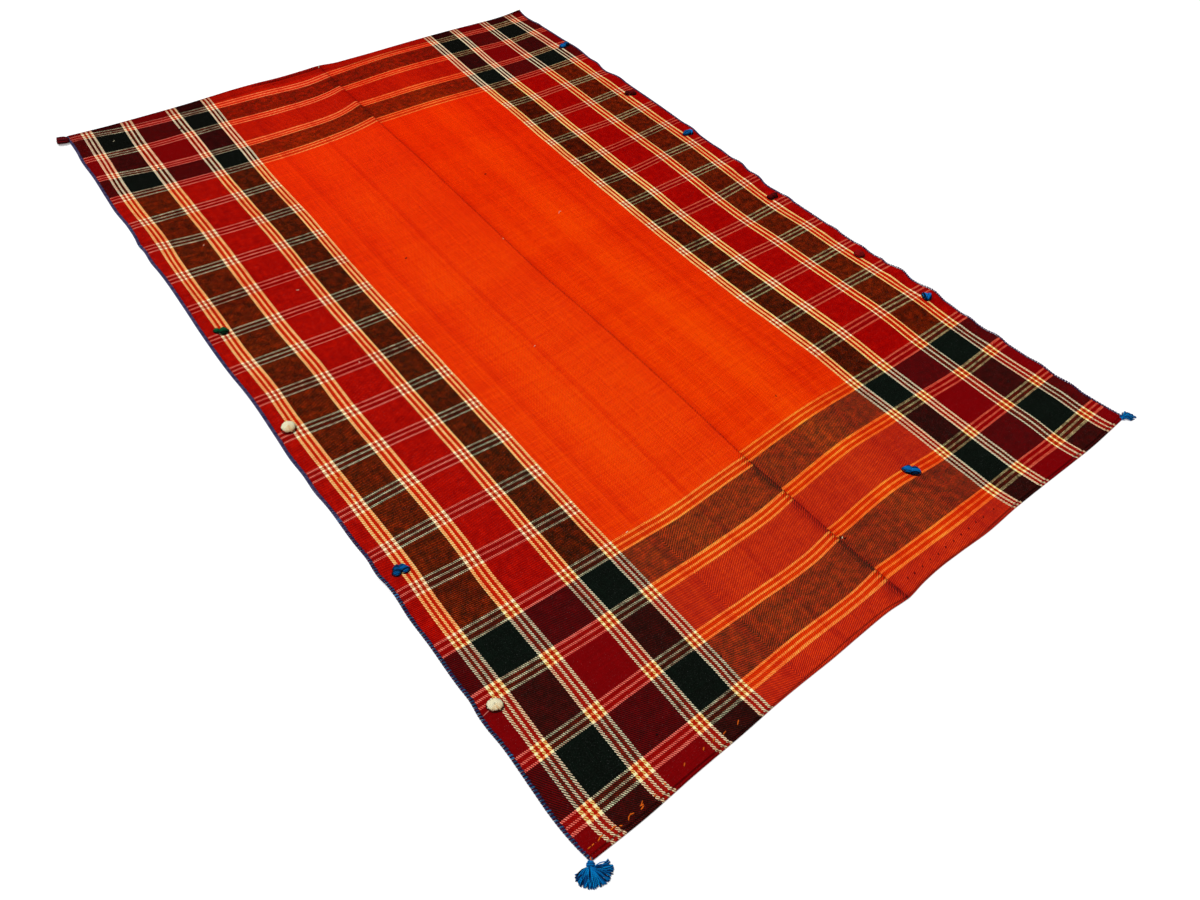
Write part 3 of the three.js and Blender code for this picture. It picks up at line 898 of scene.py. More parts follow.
def twill_face_group():
    """The colour of the cloth's face, from the colours of the two threads, as they are seen. The darker
    thread shows a little more than its share, a bright warp tints the weft on it with painted bounce light,
    and painted shade darkens the furrows between the threads."""
    shares = ("Warp Up", "Height", "Weft Share", "Contrast", "Depth", "Tone")
    group, wire, given, result = new_group(
        "twill face",
        {"Warp": "Color", "Weft": "Color", **dict.fromkeys(shares, "Float")},
        {"Color": "Color"},
    )
    warp, weft = wire.split(given["Warp"]), wire.split(given["Weft"])
    share = (1 - 2 * given["Warp Up"]) * given["Contrast"] + given["Weft Share"]
    share = ((warp[0] - weft[0]) * DARKER_THREAD_EXCESS + share).clamped()
    # Painted bounce light: a bright warp tints the weft beside it.
    bright = highest(*warp)
    amount = lowest(bright * 2.2, 1.0) * 0.5
    tinted = given["Weft"] * (given["Warp"] * (amount / bright) + (1 - amount))
    less_blue = warp[0] * warp[1] * (1 - warp[2]) ** 2
    tinted = tinted * wire.combine(1.0, 1.0, 1 - 1.3 * less_blue)
    yellowed = 1 - 0.36 * (weft[0] * (1 - weft[2])) ** 2
    upper = wire.combine(warp[0], warp[1], warp[2] * yellowed)
    # Painted shade in the furrows between the threads, by their height.
    shadow = 1 - (MEAN_HEIGHT - given["Height"]) * given["Depth"]
    seen = wire.mix(share, upper, tinted) * shadow
    lighter = 1 + 0.22 * given["Tone"]
    tint = wire.combine(1 + 0.07 * given["Tone"], lighter, lighter)
    wire.feed(result.inputs["Color"], as_light(wire, seen * tint))
    return group


def as_light(wire, seen):
    """Turns a colour as it is seen into the share of light that gives it."""
    lifted = lowest(seen * (1 / (1 + SEEN_FLOOR)) + SEEN_FLOOR / (1 + SEEN_FLOOR), 1.0)
    gamma = wire.add("ShaderNodeGamma")
    wire.feed(gamma.inputs["Color"], lifted)
    gamma.inputs["Gamma"].default_value = SEEN_GAMMA
    return wire.read(gamma.outputs[0])


def group_masks(distance, spacing, line):
    """One group's own place and that of its three lines, by distance from its middle."""
    outer = distance.wire.work_out("COMPARE", distance, spacing, line / 2)
    return distance < spacing + line / 2, highest(distance < line / 2, outer)


def stripe_masks(place, groups):
    """Where the stripe groups lie, and where the pale lines in them lie."""
    masks = [group_masks(abs(place - middle), spacing, line) for middle, spacing, line in groups]
    return [highest(*kind) for kind in zip(*masks)]


def banded(wire, place, start, width, rows):
    """Wide bands of a yarn's colour or of more weft, from rows of (where it starts, which)."""
    stops = [
        ((at - start) / width, getattr(yarns(), band) if isinstance(band, str) else 0.5 + band)
        for at, band in rows
    ]
    return wire.ramp((place - start) / width, stops, "CONSTANT")


def striped(wire, bands, in_group, in_line, line_yarn):
    seen = wire.mix(in_group, bands, (*yarns().scarlet, 1.0))
    return wire.mix(in_line, seen, (*line_yarn, 1.0))


def placed_tone(wire, place, length, table):
    """Tone by place along or across the cloth."""
    return wire.ramp(place / length, [(at / length, 0.5 + 0.4 * tone) for at, tone in table]) - 0.5


def threads_at(wire, side, grid):
    """The woven place, in metres and, a little uneven, in millimetres, and the threads there."""
    woven = wire.uv("woven")
    wander = wire.noise(woven, 11.0, 3.0, output="Color") * THREAD_WANDER - THREAD_WANDER / 2
    across, along, _ = wire.split(woven * (1 / MM) + wander)
    end_width, pick_width = weave().end_width / MM, weave().pick_width / MM
    threads = wire.place(
        grid, across=across, along=along, end_width=end_width, pick_width=pick_width,
        lean=across > TWILL_TURNS[0] if side == "left" else across < TWILL_TURNS[1],
    )
    return SimpleNamespace(
        side=side, woven=woven, across=across, along=along, end=threads["End"], pick=threads["Pick"],
        warp_up=threads["Warp Up"], height=threads["Height"],
        end_middle=(threads["End"] + 0.5) * end_width,
        pick_middle=(threads["Pick"] + 0.5) * pick_width,
        near=along < END_GROUPS[-1] + 8, far=along > CLOTH_LENGTH - END_GROUPS[-1] - 15,
        pull=wire.attribute("pull"), shade=wire.attribute("shade"),
    )


def set_warp(wire, cloth):
    """The warp's colours, where its stripes lie, and how much more of the weft each band shows."""
    bands = WARP_BANDS[cloth.side]
    start, width = bands["from"], bands["to"] - bands["from"]
    rows = [(start, bands["first"]), *((middle, band) for middle, _, _, band in bands["groups"])]
    bare, more_weft = (
        banded(wire, cloth.end_middle, start, width, [(at, band[part]) for at, band in rows])
        for part in (0, 1)
    )
    cloth.more_weft = more_weft - 0.5
    cloth.from_sides = lowest(cloth.end_middle - start, start + width - cloth.end_middle)
    cloth.in_warp_group, cloth.in_warp_line = stripe_masks(
        cloth.end_middle, [row[:3] for row in bands["groups"]]
    )
    drift = wire.ramp(
        cloth.along / CLOTH_LENGTH,
        [(place / CLOTH_LENGTH, (1.0, green, green)) for place, green in WARP_GREEN_ALONG],
    )
    cloth.warp = striped(wire, bare * drift, cloth.in_warp_group, cloth.in_warp_line, yarns().cream)
    cloth.warp_red = wire.split(cloth.warp)[0]


def set_weft(wire, cloth):
    """The weft's colours and where its stripes lie, with the bars that cross only the borders."""
    is_left = cloth.side == "left"
    from_end = lowest(cloth.pick_middle, CLOTH_LENGTH - cloth.pick_middle)
    rows = [(0.0, WEFT_BANDS[0]), *zip(END_GROUPS, WEFT_BANDS[1:])]
    bare = banded(wire, from_end, 0.0, WEFT_BANDS_REACH, rows)
    in_group, in_line = stripe_masks(from_end, [(place, *WEFT_GROUP) for place in END_GROUPS])
    steps = (cloth.pick_middle - END_GROUPS[-1]) / BAR_STEP
    from_bar = abs(wire.work_out("FRACT", steps + 0.5) - 0.5) * BAR_STEP
    in_bar, in_bar_line = group_masks(from_bar, *BAR_GROUP)
    in_border = cloth.end_middle < BAR_LIMITS[0] if is_left else cloth.end_middle > BAR_LIMITS[1]
    barred = (from_end > END_GROUPS[-1] + BAR_STEP / 2) * in_border
    cloth.in_group = in_group + in_bar * barred
    cloth.in_line = in_line + in_bar_line * barred
    line_yarn = yarns().cream if is_left else yarns().warm_cream
    cloth.weft = striped(wire, bare, cloth.in_group, cloth.in_line, line_yarn)
    cloth.weft_red = wire.split(cloth.weft)[0]


def set_tone(wire, cloth):
    """Threads differ a little from each other and along themselves, and the dye lies in soft clouds."""
    cloth.cloud = wire.noise(cloth.woven, 60.0, 3.0, 0.6) - 0.5
    cloth.fleck = wire.noise(cloth.woven, 420.0, 2.0, 0.6) - 0.5
    slub_place = wire.combine(cloth.end * 0.7, cloth.along * 0.02)
    weft_slub_place = wire.combine(cloth.across * 0.02, cloth.pick * 0.7, 7.0)
    # The streaks across the width are partly painted shade along the creases and the seam.
    cloth.tone = (
        placed_tone(wire, cloth.across, CLOTH_WIDTH, STREAKS) * 2.4
        + placed_tone(wire, cloth.along, CLOTH_LENGTH, BARS_OF_TONE) * 1.6
        + (wire.scatter(cloth.end) - 0.5) * 0.9
        + (wire.scatter(cloth.pick) - 0.5) * 0.7
        + (wire.noise(slub_place, 1.0, 1.0) - 0.5) * 2.2
        + (wire.noise(weft_slub_place, 1.0, 1.0) - 0.5) * 2.2
        + cloth.cloud * 1.6
        + cloth.fleck * 2.6
    )


def weft_share(cloth):
    """The share of the face that the weft shows, before the twill's own pattern."""
    over_any, over_pale, over_far = WARP_BANDS[cloth.side]["over"]
    over_dark = (cloth.weft_red - cloth.warp_red).clamped()
    mottle = (cloth.cloud * 0.35 + cloth.fleck * 0.4) * (1 + 1.8 * over_dark + 1.8 * cloth.over_bright)
    share = weave().weft_share + 0.18 * cloth.pull + mottle + cloth.more_weft

    # Pale warp lines: how much of them shows over dark and bright weft, and far away.
    in_gap = (cloth.in_warp_group - cloth.in_warp_line).clamped()
    gap_share = 0.3 * cloth.far + (0.0 if cloth.side == "left" else 0.2)
    share = share + cloth.in_warp_line * (over_any + over_far * cloth.far + over_pale * cloth.over_bright)
    share = share + in_gap * cloth.over_bright * gap_share

    # Pale weft lines: on middling and far orange warp, and by the edges of a length.
    on_warp = 0.02 + 0.6 * cloth.warp_red * (1 - cloth.warp_red) + 0.08 * cloth.warp_red ** 3 * cloth.far
    by_side = (1 - cloth.from_sides / 26).clamped()
    return share + cloth.in_line * (on_warp + 0.25 * by_side)


def finished_colour(wire, cloth, face):
    """The face's colour with lint and dust on it, painted shade and a painted sheen, and the paler places
    where lines cross.
    """
    in_lines = highest(cloth.in_line, cloth.in_warp_line).clamped()
    contrast = weave().float_contrast + (0.5 - weave().float_contrast) * in_lines
    # Painted shade in the furrows between threads is deeper where the seam gathers the cloth.
    seen = wire.place(
        face, warp=cloth.warp, weft=cloth.weft, warp_up=cloth.warp_up, height=cloth.height,
        weft_share=weft_share(cloth), contrast=contrast,
        depth=0.5 * cloth.pull + weave().depth, tone=cloth.tone,
    )["Color"]
    lint = (wire.noise(cloth.woven, 800.0, 0.0) - 0.74).clamped() * 0.7
    # Painted sheen: a little green and blue light on the bright warp at the near end, outside the weft
    # stripes.
    painted_sheen = cloth.warp_red ** 3 * cloth.near * (1 - cloth.in_group)
    green_sheen = 0.008 * cloth.over_bright * painted_sheen
    blue_sheen = (0.0035 + 0.003 * cloth.over_bright) * painted_sheen
    # The shade attribute is painted shade: darker in the hem grooves, by the seam, in the pucker's furrows
    # and on the far hem.
    seen = seen * cloth.shade + lint + wire.combine(0.0, green_sheen, blue_sheen)

    amber = 1 - 0.4 * cloth.in_group * cloth.in_warp_group * cloth.near
    seen = seen * wire.combine(1.0, 1.0, amber)
    seen = lowest(seen + cloth.in_line * cloth.in_warp_line * CROSSING_LIGHT, CROSSING_LIMIT)
    warm = 1 - 0.45 * cloth.far * cloth.in_warp_line * cloth.weft_red * (1 - cloth.in_line)
    seen = seen * wire.combine(1.0, warm, warm)

    both_dark = (1 - cloth.warp_red) * (1 - cloth.weft_red)
    seen = seen + highest(cloth.fleck, 0.0) * both_dark * DUST
    if cloth.side == "right":
        seen = highest(seen - cloth.weft_red ** 3 * RIGHT_RED_SHIFT, 0.0)
    return seen


def cloth_material(side, grid, face):
    """The plaid twill of one length. Reads the woven place from the UV map, in metres."""
    material, wire, shader = new_material(f"plaid_twill_{side}", 1.0, 0.0)
    cloth = threads_at(wire, side, grid)
    set_warp(wire, cloth)
    set_weft(wire, cloth)
    set_tone(wire, cloth)
    cloth.over_bright = (cloth.warp_red - cloth.weft_red).clamped()

    # Gathers lean across the cloth where the seam pulls it, and painted shade darkens the furrows between
    # them.
    ridges = wire.work_out("SINE", (cloth.along - 0.75 * cloth.across) * (2 * math.pi / 6.0))
    cloth.height = wire.between(0.7 * cloth.pull, cloth.height, 0.5 + 0.5 * ridges)
    wire.feed(shader.inputs["Base Color"], finished_colour(wire, cloth, face))
    wire.bump(shader, cloth.height + 0.8 * cloth.fleck, 0.75, weave().relief)
    return material


def yarn_material(name, colours, depth=0.45):
    """Plied yarn: two strands that twist round each other, with a tint for each strand."""
    material, wire, shader = new_material(name, 0.9, 0.06)
    along, around, _ = wire.split(wire.uv("yarn"))
    turns = along / YARN_TWIST + around
    ply = abs(wire.work_out("SINE", turns * (2 * math.pi)))
    fleck = wire.noise(wire.combine(along * 300, around * 9), 3.0) - 0.5
    last = len(colours) - 1
    seen = wire.ramp(
        wire.attribute("tint"), [(number / last, colour) for number, colour in enumerate(colours)]
    )
    # Painted shade between the plies, by depth, and flecks of tone.
    shadow = 1 + (ply - 1) * depth + fleck * 0.6
    wire.feed(shader.inputs["Base Color"], as_light(wire, seen * shadow))
    wire.bump(shader, ply + 0.5 * fleck, 0.6, 0.3 * MM)
    return material


def tones(colour, *shares):
    """A yarn's colour lightened or darkened."""
    return [tuple(min(1.0, channel * share) for channel in colour) for share in shares]


# ---- The woven lengths ------------------------------------------------------------------------------


def spread(stretches):
    """Places from the first stretch's start to the last one's end: (start, end, step) each."""
    places = []
    for start, end, step in stretches:
        count = max(1, round((end - start) / step))
        places.extend(np.linspace(start, end, count, endpoint=False))
    return np.array([*places, stretches[-1][1]])


def woven_grid(side):
    """The woven columns and rows of one length's mesh, finer where the cloth is worked."""
    inset = OVERCAST[side]["inset"]
    if side == "left":
        columns = spread([(inset, 12, 2), (12, 396, 8), (396, 708, 12), (708, SEAM - 4, 1.5),
                          (SEAM - 4, SEAM, 1.0)])
    else:
        last = CLOTH_WIDTH - inset
        columns = spread([(SEAM, SEAM + 4, 1.0), (SEAM + 4, SEAM + 30, 2), (SEAM + 30, 1090, 12),
                          (1090, last - 8, 8), (last - 8, last, 2)])
    near = [(0, 12, 1.0), (12, 44, 2.5), (44, 440, 5.2)]
    far = [(CLOTH_LENGTH - end, CLOTH_LENGTH - start, step) for start, end, step in reversed(near)]
    return columns, spread([*near, (440, CLOTH_LENGTH - 440, 10), *far])


def crease_at(across, along):
    """The height of the soft creases."""
    height = np.zeros_like(across)
    for start, end, half_width, rise in CREASES:
        start, run = np.array(start, float), np.subtract(end, start).astype(float)
        length = np.linalg.norm(run)
        off = np.stack([across - start[0], along - start[1]], axis=-1)
        share = (off @ run) / length**2
        beside = np.abs(off[..., 0] * run[1] - off[..., 1] * run[0]) / length
        wander = 1 + 0.35 * np.sin(share * 9 + rise * 5)
        ends = np.clip(np.minimum(share, 1 - share) * 8, 0, 1)
        height = height + rise * wander * ends * fade(beside, 2 * half_width)
    return height


def hem_groove(end, across, from_end):
    """How deep the sewing draws the hem in, and which part of it is the roll beyond the groove."""
    stations, values = columns_of(HEM_GROOVES[end])
    middle, width, depth = (np.interp(across, stations, column) for column in values.T)
    return depth * fade(np.abs(from_end - middle), width), (from_end < middle) * depth


def laid_grid(side):
    """One length's grid of woven places, where they lie in the finished cloth, and how far they are
    from its ends, its long edge and the seam."""
    across, along = woven_grid(side)
    finished_along = place_along(side, across, along)
    finished_across = place_across(side, across, finished_along)
    left, _, right = edges_at(finished_along.ravel()).T.reshape((3,) + finished_along.shape)
    near, far = ends_at(across).T
    grid_across, grid_along = np.meshgrid(across, along)
    last_group = place_along(side, across, np.array([CLOTH_LENGTH - END_GROUPS[0]]))
    return SimpleNamespace(
        side=side, across=grid_across, along=grid_along,
        finished_across=finished_across, finished_along=finished_along,
        from_near=finished_along - near, from_far=far - finished_along,
        from_end=np.minimum(finished_along - near, far - finished_along),
        from_edge=finished_across - left if side == "left" else right - finished_across,
        from_seam=np.abs(grid_across - SEAM), beyond_last_group=finished_along - last_group,
    )


def drawn_in(cloth):
    """How the seam draws a length in, the left one more: gathers along it, furrows in a pucker at the
    near hem, and a shadow."""
    by_seam = cloth.from_seam if cloth.side == "left" else 9 * cloth.from_seam
    near_end, far_end = cloth.from_near < END_ZONE, cloth.from_far < END_ZONE
    pull = fade(by_seam, GATHER_REACH) * (0.15 + 0.8 * near_end + 0.3 * far_end)
    pucker = fade(by_seam, PUCKER_REACH) * fade(np.abs(cloth.along - PUCKER_MIDDLE), PUCKER_SPREAD)
    furrows = 0.5 + 0.5 * np.sin(2 * math.pi * (cloth.across - 0.7 * cloth.along) / FURROW_PITCH)
    return pull, pucker * furrows, fade(by_seam, SEAM_SHADOW_REACH) * (0.15 + 0.85 * near_end)


def far_end_shadow(cloth):
    """How much painted shade darkens the far hem: its whipped stretch, its edge and the folded right
    corner.
    """
    whipped = np.clip((cloth.across - WHIPPED[0]) / 12, 0, 1)
    whipped = whipped * np.clip((WHIPPED[1] - cloth.across) / 6, 0, 1)
    flap = fade(cloth.from_far + 0.3 * (FLAP_PLACE - cloth.across), FLAP_REACH)
    flap = flap * np.clip((cloth.across - FLAP_START) / 14, 0, 1)
    rolled = fade(cloth.from_far, 9) * (1 - whipped)
    on_whipped = whipped * (cloth.from_far < WHIPPED_DEPTH)
    return 0.28 * on_whipped + 0.55 * flap + 0.3 * rolled + 0.2 * (cloth.from_far < HEM_PROFILE[-1][0])


def soft_rise(cloth):
    """The slight undulation and the creases of cloth that lies flat, away from its ends and edge."""
    undulation = (
        0.25 * np.sin(cloth.across / 31 + 1.3) * np.sin(cloth.along / 47)
        + 0.2 * np.sin(cloth.across / 83) * np.sin(cloth.along / 71 + 0.7)
    )
    inside = (1 - fade(cloth.from_end, 60)) * (1 - fade(np.abs(cloth.from_edge), 40))
    return (undulation + crease_at(cloth.across, cloth.along)) * inside


def woven_length(side, material):
    """One length: its top and underside where the finished cloth lies, and its woven places as UV."""
    cloth = laid_grid(side)
    distances, profile = columns_of(HEM_PROFILE)
    top, under = (np.interp(cloth.from_end, distances, column) for column in profile.T)
    lift = lift_at(side, cloth.finished_along, cloth.from_edge)
    near_groove, near_roll = hem_groove("near", cloth.across, cloth.from_near)
    far_groove, _ = hem_groove("far", cloth.across, cloth.from_far)
    groove = near_groove + far_groove
    pull, furrowed, seam_shadow = drawn_in(cloth)
    top = top + SEAM_LIFT * fade(cloth.from_seam, 9) - 0.6 * fade(cloth.from_seam, 1.6) - 1.5 * groove
    top = top - 0.9 * furrowed * np.clip(cloth.from_seam / 5, 0, 1) + lift + soft_rise(cloth)
    top = np.maximum(top, under + lift + LEAST_SHEET)
    # Painted shade: darker in the hem grooves, by the seam, in the furrows of the pucker, in the seam's
    # shadow and on the far hem.
    shade = 1 - 0.5 * groove - 0.1 * fade(cloth.from_seam, 3.2) - 0.5 * furrowed - 0.2 * seam_shadow
    shade = np.clip(shade - far_end_shadow(cloth), DARKEST_SHADE, 1)

    # Less cloth shows beyond the far stripes than was woven, because of the deep fold there.
    last_group = CLOTH_LENGTH - END_GROUPS[0]
    shown_along = np.where(
        cloth.along > last_group, last_group + cloth.beyond_last_group, cloth.along
    )
    shown_across = cloth.across - 3.0 * near_roll

    points, faces = closed_sheet(
        in_frame(cloth.finished_across, cloth.finished_along, top),
        in_frame(cloth.finished_across, cloth.finished_along, under + lift, top),
    )
    uv = np.stack([shown_across, shown_along], axis=-1).reshape(-1, 2) * MM
    on_points = {"pull": np.tile(pull.ravel(), 2), "shade": np.tile(shade.ravel(), 2)}
    piece = new_piece(
        f"woven_length_{side}", points, faces, np.tile(uv, (2, 1)), "woven", on_points, material
    )
    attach(piece, "root")
    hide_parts(f"panel_{side}")
    return piece


class JAJIM_OT_woven_lengths(bpy.types.Operator):
    """Lay the two woven lengths, their hems and their seam edges"""

    bl_idname = "jajim.woven_lengths"
    bl_label = "Woven Lengths"

    def execute(self, context):
        grid, face = thread_grid_group(), twill_face_group()
        for side in ("left", "right"):
            woven_length(side, cloth_material(side, grid, face))
        return {"FINISHED"}


# ---- Overcast edges ---------------------------------------------------------------------------------


def overcast_tint(rng, side, along, is_blue):
    """Where a stitch's colour lies from pale blue, 0, through navy to dark purple, 1."""
    nearest = min(abs(along - bright) for bright in OVERCAST[side]["bright"])
    if is_blue and nearest < OVERCAST_BRIGHT_REACH:
        return rng.uniform(0.0, 0.15)
    start, end = OVERCAST[side]["blue"] if is_blue else OVERCAST[side]["purple"]
    return np.clip(np.interp(along, (0, 600, 900), (start, start, end)) + rng.uniform(-0.09, 0.09), 0, 1)


def overcast_edge(side, material):
    """Yarn wound over a long edge, stitch after stitch."""
    rng = np.random.default_rng(7 if side == "left" else 8)
    plan_of_side = OVERCAST[side]
    outward = -1 if side == "left" else 1
    share = np.linspace(0, 1, 8)
    angle = np.interp(share, (0, 1), (0.06, 1.2)) * math.pi
    strands = []
    for number in range(int((CLOTH_LENGTH - plan_of_side["start"]) / OVERCAST_PITCH)):
        along = plan_of_side["start"] + number * OVERCAST_PITCH + rng.uniform(-0.35, 0.35)
        is_blue = number % 2 == 0
        reach = plan_of_side["reach"] * rng.uniform(0.88, 1.12)
        radius = plan_of_side["radius"] * (rng.uniform(0.7, 0.9) if is_blue else rng.uniform(0.95, 1.1))
        left, _, right = edges_at(np.array([along]))[0]
        edge = left if side == "left" else right
        near, far = ends_at(np.array([edge]))[0]
        middle = near + along * (far - near) / CLOTH_LENGTH
        half = (reach - radius) / 2
        beyond = plan_of_side["beyond"][0 if is_blue else 1]
        across = edge + outward * (beyond - radius - half * (1 + np.cos(angle)))
        slant = 2.6 * (share - 0.5)
        lift = lift_at(side, middle, np.abs(across - edge))
        height = np.maximum(1.5 + (SHEET - 0.1) * np.sin(angle), radius + 0.05) + lift
        path = in_frame(across, middle + slant, height, 3.0 + lift[0])
        strands.append((path, radius * MM, overcast_tint(rng, side, along, is_blue)))
    piece = yarn_strands(f"overcast_{side}", strands, material, sides=6)
    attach(piece, "root")
    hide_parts(f"edging_{side}")
    return piece


class JAJIM_OT_overcast_edges(bpy.types.Operator):
    """Overcast both long edges with blue and purple yarn"""

    bl_idname = "jajim.overcast_edges"
    bl_label = "Overcast Edges"

    def execute(self, context):
        colours = yarns()
        palette = [
            *tones(colours.edging_blue, 1.2, 0.75), colours.edging_navy, colours.edging_lavender,
            *tones(colours.edging_purple, 1.0, 0.55),
        ]
        material = yarn_material("edging_yarn", palette)
        for side in ("left", "right"):
            overcast_edge(side, material)
        return {"FINISHED"}


# ---- Sewing and loose threads -----------------------------------------------------------------------


def turned(across, along, turn, ahead, beside):
    """Places that lie ahead of a point and beside it, for somebody turned so many degrees."""
    turn = math.radians(turn)
    return (
        across + ahead * math.cos(turn) - beside * math.sin(turn),
        along + ahead * math.sin(turn) + beside * math.cos(turn),
    )


def stitch(across, along, length, turn, rise=1.0, sunk=0.5):
    """The path of one stitch that stands up from the cloth between two holes."""
    share = np.linspace(-0.5, 0.5, 5)
    across, along = turned(across, along, turn, share * length, 0.0)
    height = cloth_top(across, along) - sunk + (rise + sunk) * (1 - 4 * share**2)
    return in_frame(across, along, height)


def bits_of_yarn(name, strands, material, sides=5):
    piece = yarn_strands(name, strands, material, sides=sides)
    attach(piece, "root")
    return piece


def seam_strands(rng):
    """Slanting stitches that draw the two lengths together."""
    strands = []
    for place in np.arange(6, CLOTH_LENGTH - 4, 8.2):
        along = place + rng.uniform(-1.6, 1.6)
        across = edges_at(np.array([along]))[0][1] + rng.uniform(-0.4, 0.4)
        length, turn = rng.uniform(4.5, 7), rng.uniform(35, 65)
        path = stitch(across, along, length, turn, 1.2, 0.2)
        strands.append((path, 0.5 * MM, rng.uniform(0.0, 0.45)))
    return strands


def whip_strands(rng):
    """Slanting stitches over the far hem."""
    strands = []
    for place in np.arange(WHIPPED[0], WHIPPED[1] - 6, 8.8):
        across = place + rng.uniform(-1.5, 1.5)
        far = ends_at(np.array([across]))[0][1]
        path = stitch(across, far - 8.5, rng.uniform(13, 17), rng.uniform(52, 64), 1.1, 0.6)
        strands.append((path, rng.uniform(0.9, 1.2) * MM, rng.uniform(0.0, 0.35)))
    return strands


class JAJIM_OT_sewing(bpy.types.Operator):
    """Sew the seam and the hems"""

    bl_idname = "jajim.sewing"
    bl_label = "Seam and Hem Stitches"

    def execute(self, context):
        rng = np.random.default_rng(21)
        colours = yarns()
        red = yarn_material("sewing_yarn_red", tones(colours.sewing_red, 1.9, 1.0, 0.6))
        # The dimple stitches take a dark tint, which also paints the shade in their dimples.
        dimples = [
            (stitch(across, along, 4.5, 55, 0.35, 0.5), 0.95 * MM, 0.9) for across, along in DIMPLES
        ]
        bits_of_yarn("seam_stitches", [*seam_strands(rng), *whip_strands(rng), *dimples], red)
        orange = yarn_material("sewing_yarn_orange", tones(colours.sewing_orange, 1.0, 0.7), 0.25)
        running = [
            (stitch(*place), rng.uniform(0.95, 1.2) * MM, rng.uniform(0.0, 0.6))
            for place in RUNNING_STITCHES
        ]
        darn = [
            (stitch(50.5, 851 + row * 2.2, 8, 4 * row, 0.8, 0.2), 1.0 * MM, 0.2 * abs(row))
            for row in range(-2, 3)
        ]
        bits_of_yarn("orange_stitches", [*running, *darn], orange)
        return {"FINISHED"}


LINT = [
    # across, along, length, turn, radius, tint from cream, 0, to pink, 0.5, to dark, 1
    (110, 2250, 6, 30, 0.8, 0.0), (428, 423, 5, 10, 0.7, 0.0), (238, 1117, 5, 70, 0.7, 0.1),
    (583, 940, 5, 20, 0.7, 0.0), (237, 1410, 6, -20, 0.7, 0.1), (127, 1688, 5, 50, 0.7, 0.1),
    (748, 1305, 6, 80, 0.7, 0.0), (933, 1315, 7, 30, 0.6, 0.1), (939, 1319, 7, -20, 0.6, 0.1),
    (760, 165, 5, 30, 0.9, 0.0), (762, 2333, 12, 62, 0.9, 0.0), (50.8, 802, 6, 90, 1.8, 0.0),
    (50.0, 799, 5, 20, 1.5, 0.1), (14, 283.5, 16, 10, 0.9, 0.45), (27, 281, 12, 5, 0.9, 0.45),
    (758, 168, 6, 70, 1.2, 1.0), (764, 161, 5, -20, 1.1, 1.0),
    (214, 87, 4, 0, 1.2, 1.0), (395, 125, 5, 40, 1.2, 1.0), (160, 2060, 6, 10, 1.6, 1.0),
    (280, 2215, 7, -10, 1.6, 1.0), (843, 370, 4, 20, 1.0, 0.95), (928, 508, 4, 60, 1.0, 0.95),
    (870, 1570, 5, 0, 1.2, 0.95), (505, 1373, 5, 20, 1.2, 0.95), (1440, 1730, 6, 0, 1.4, 1.0),
]


class JAJIM_OT_loose_threads(bpy.types.Operator):
    """Lay a few bits of loose thread and lint on the cloth"""

    bl_idname = "jajim.loose_threads"
    bl_label = "Loose Threads"

    def execute(self, context):
        colours = yarns()
        pink = (0.82, 0.36, 0.33)
        material = yarn_material("loose_thread_yarn", [colours.white, pink, (0.1, 0.02, 0.02)], 0.2)
        strands = [
            (stitch(across, along, length, turn, radius + 0.1, 0.3), radius * MM, tint)
            for across, along, length, turn, radius, tint in LINT
        ]
        bits_of_yarn("loose_threads", strands, material)
        return {"FINISHED"}


# ---- Tassels and tufts ------------------------------------------------------------------------------


# The rims are painted shadow rings of the darkest tint at the foot of each lobe, set a little towards the
# camera, away from the key light.
LOBE_TINTS = 0.75           # the rest of a palette, up to 1, is for the rims
SHADOW_RING_SHIFT = (-0.5, -0.7)    # towards the camera
LOOP_YARN = 1.25            # the radius of a loop's yarn
SPOKES = {"rosette": (1.3, 0.06), "dome": (1.7, 0.04)}      # the yarn's radius, and where it starts

# The tassels: the neck's start, end and half width, the fan that it opens in as (turn in degrees,
# length), the number of strands and their radius, and the heights of the waist and the fan.
BRUSHES = {
    "near_left": (
        ((8.5, 0.5), (2.5, -6.5), 5.6),
        [(181, 25), (196, 29), (229, 29), (246, 30), (266, 30), (292, 33), (323, 34), (338, 31)],
        240, 0.8, 7.5, 11.0,
    ),
    "near_right": (
        ((1519.0, 5.5), (1527.0, 3.5), 4.6),
        [(-62, 14), (-45, 21), (-27, 34), (-16, 29), (4, 26), (23, 14)], 110, 0.75, 6.0, 9.0,
    ),
}
BINDING_STRANDS = 14        # yarn along a tassel's neck
BINDING_TURNS = 4           # and wound round it
LOOSE_TIP = (1516.0, 2332.0)    # where the far right corner's few loose strands start


def lobe_loops(rng, lobe, base, thickness, lightest=0.0):
    """Loops of yarn that lie side by side and arch over a lobe, in two layers."""
    across, along, half_long, turn, half_wide, height = lobe
    strands = []
    for layer, radius, darker in ((0.45, 1.5 * thickness, 0.55), (1.0, thickness, 0.0)):
        count = max(4, int(2 * half_wide / (1.55 * radius)))
        for offset in np.linspace(-0.86, 0.86, count):
            width = math.sqrt(1 - offset**2)
            share = np.linspace(-1, 1, 8)
            bow = rng.uniform(-0.12, 0.12) * half_wide
            reach = half_long * width * rng.uniform(0.88, 1.04) - radius
            beside = offset * half_wide + bow * (1 - share**2)
            beside = beside - np.sign(offset) * 0.12 * half_wide * share**2
            rise = (height - radius) * layer * width**0.6 * np.sqrt(np.maximum(1 - share**2, 0)) ** 0.8
            level = base + radius * 0.6 + rise
            path = np.column_stack([*turned(across, along, turn, share * reach, beside), level])
            # Painted shade: the lower layer and the loops towards the sides are darker; the rest of the
            # tint is random.
            tint = lightest + darker + rng.uniform(0, 1) ** 1.6 + 0.2 * abs(offset)
            strands.append((plan(path), radius * MM, LOBE_TINTS * np.clip(tint, 0, 1)))
    return strands


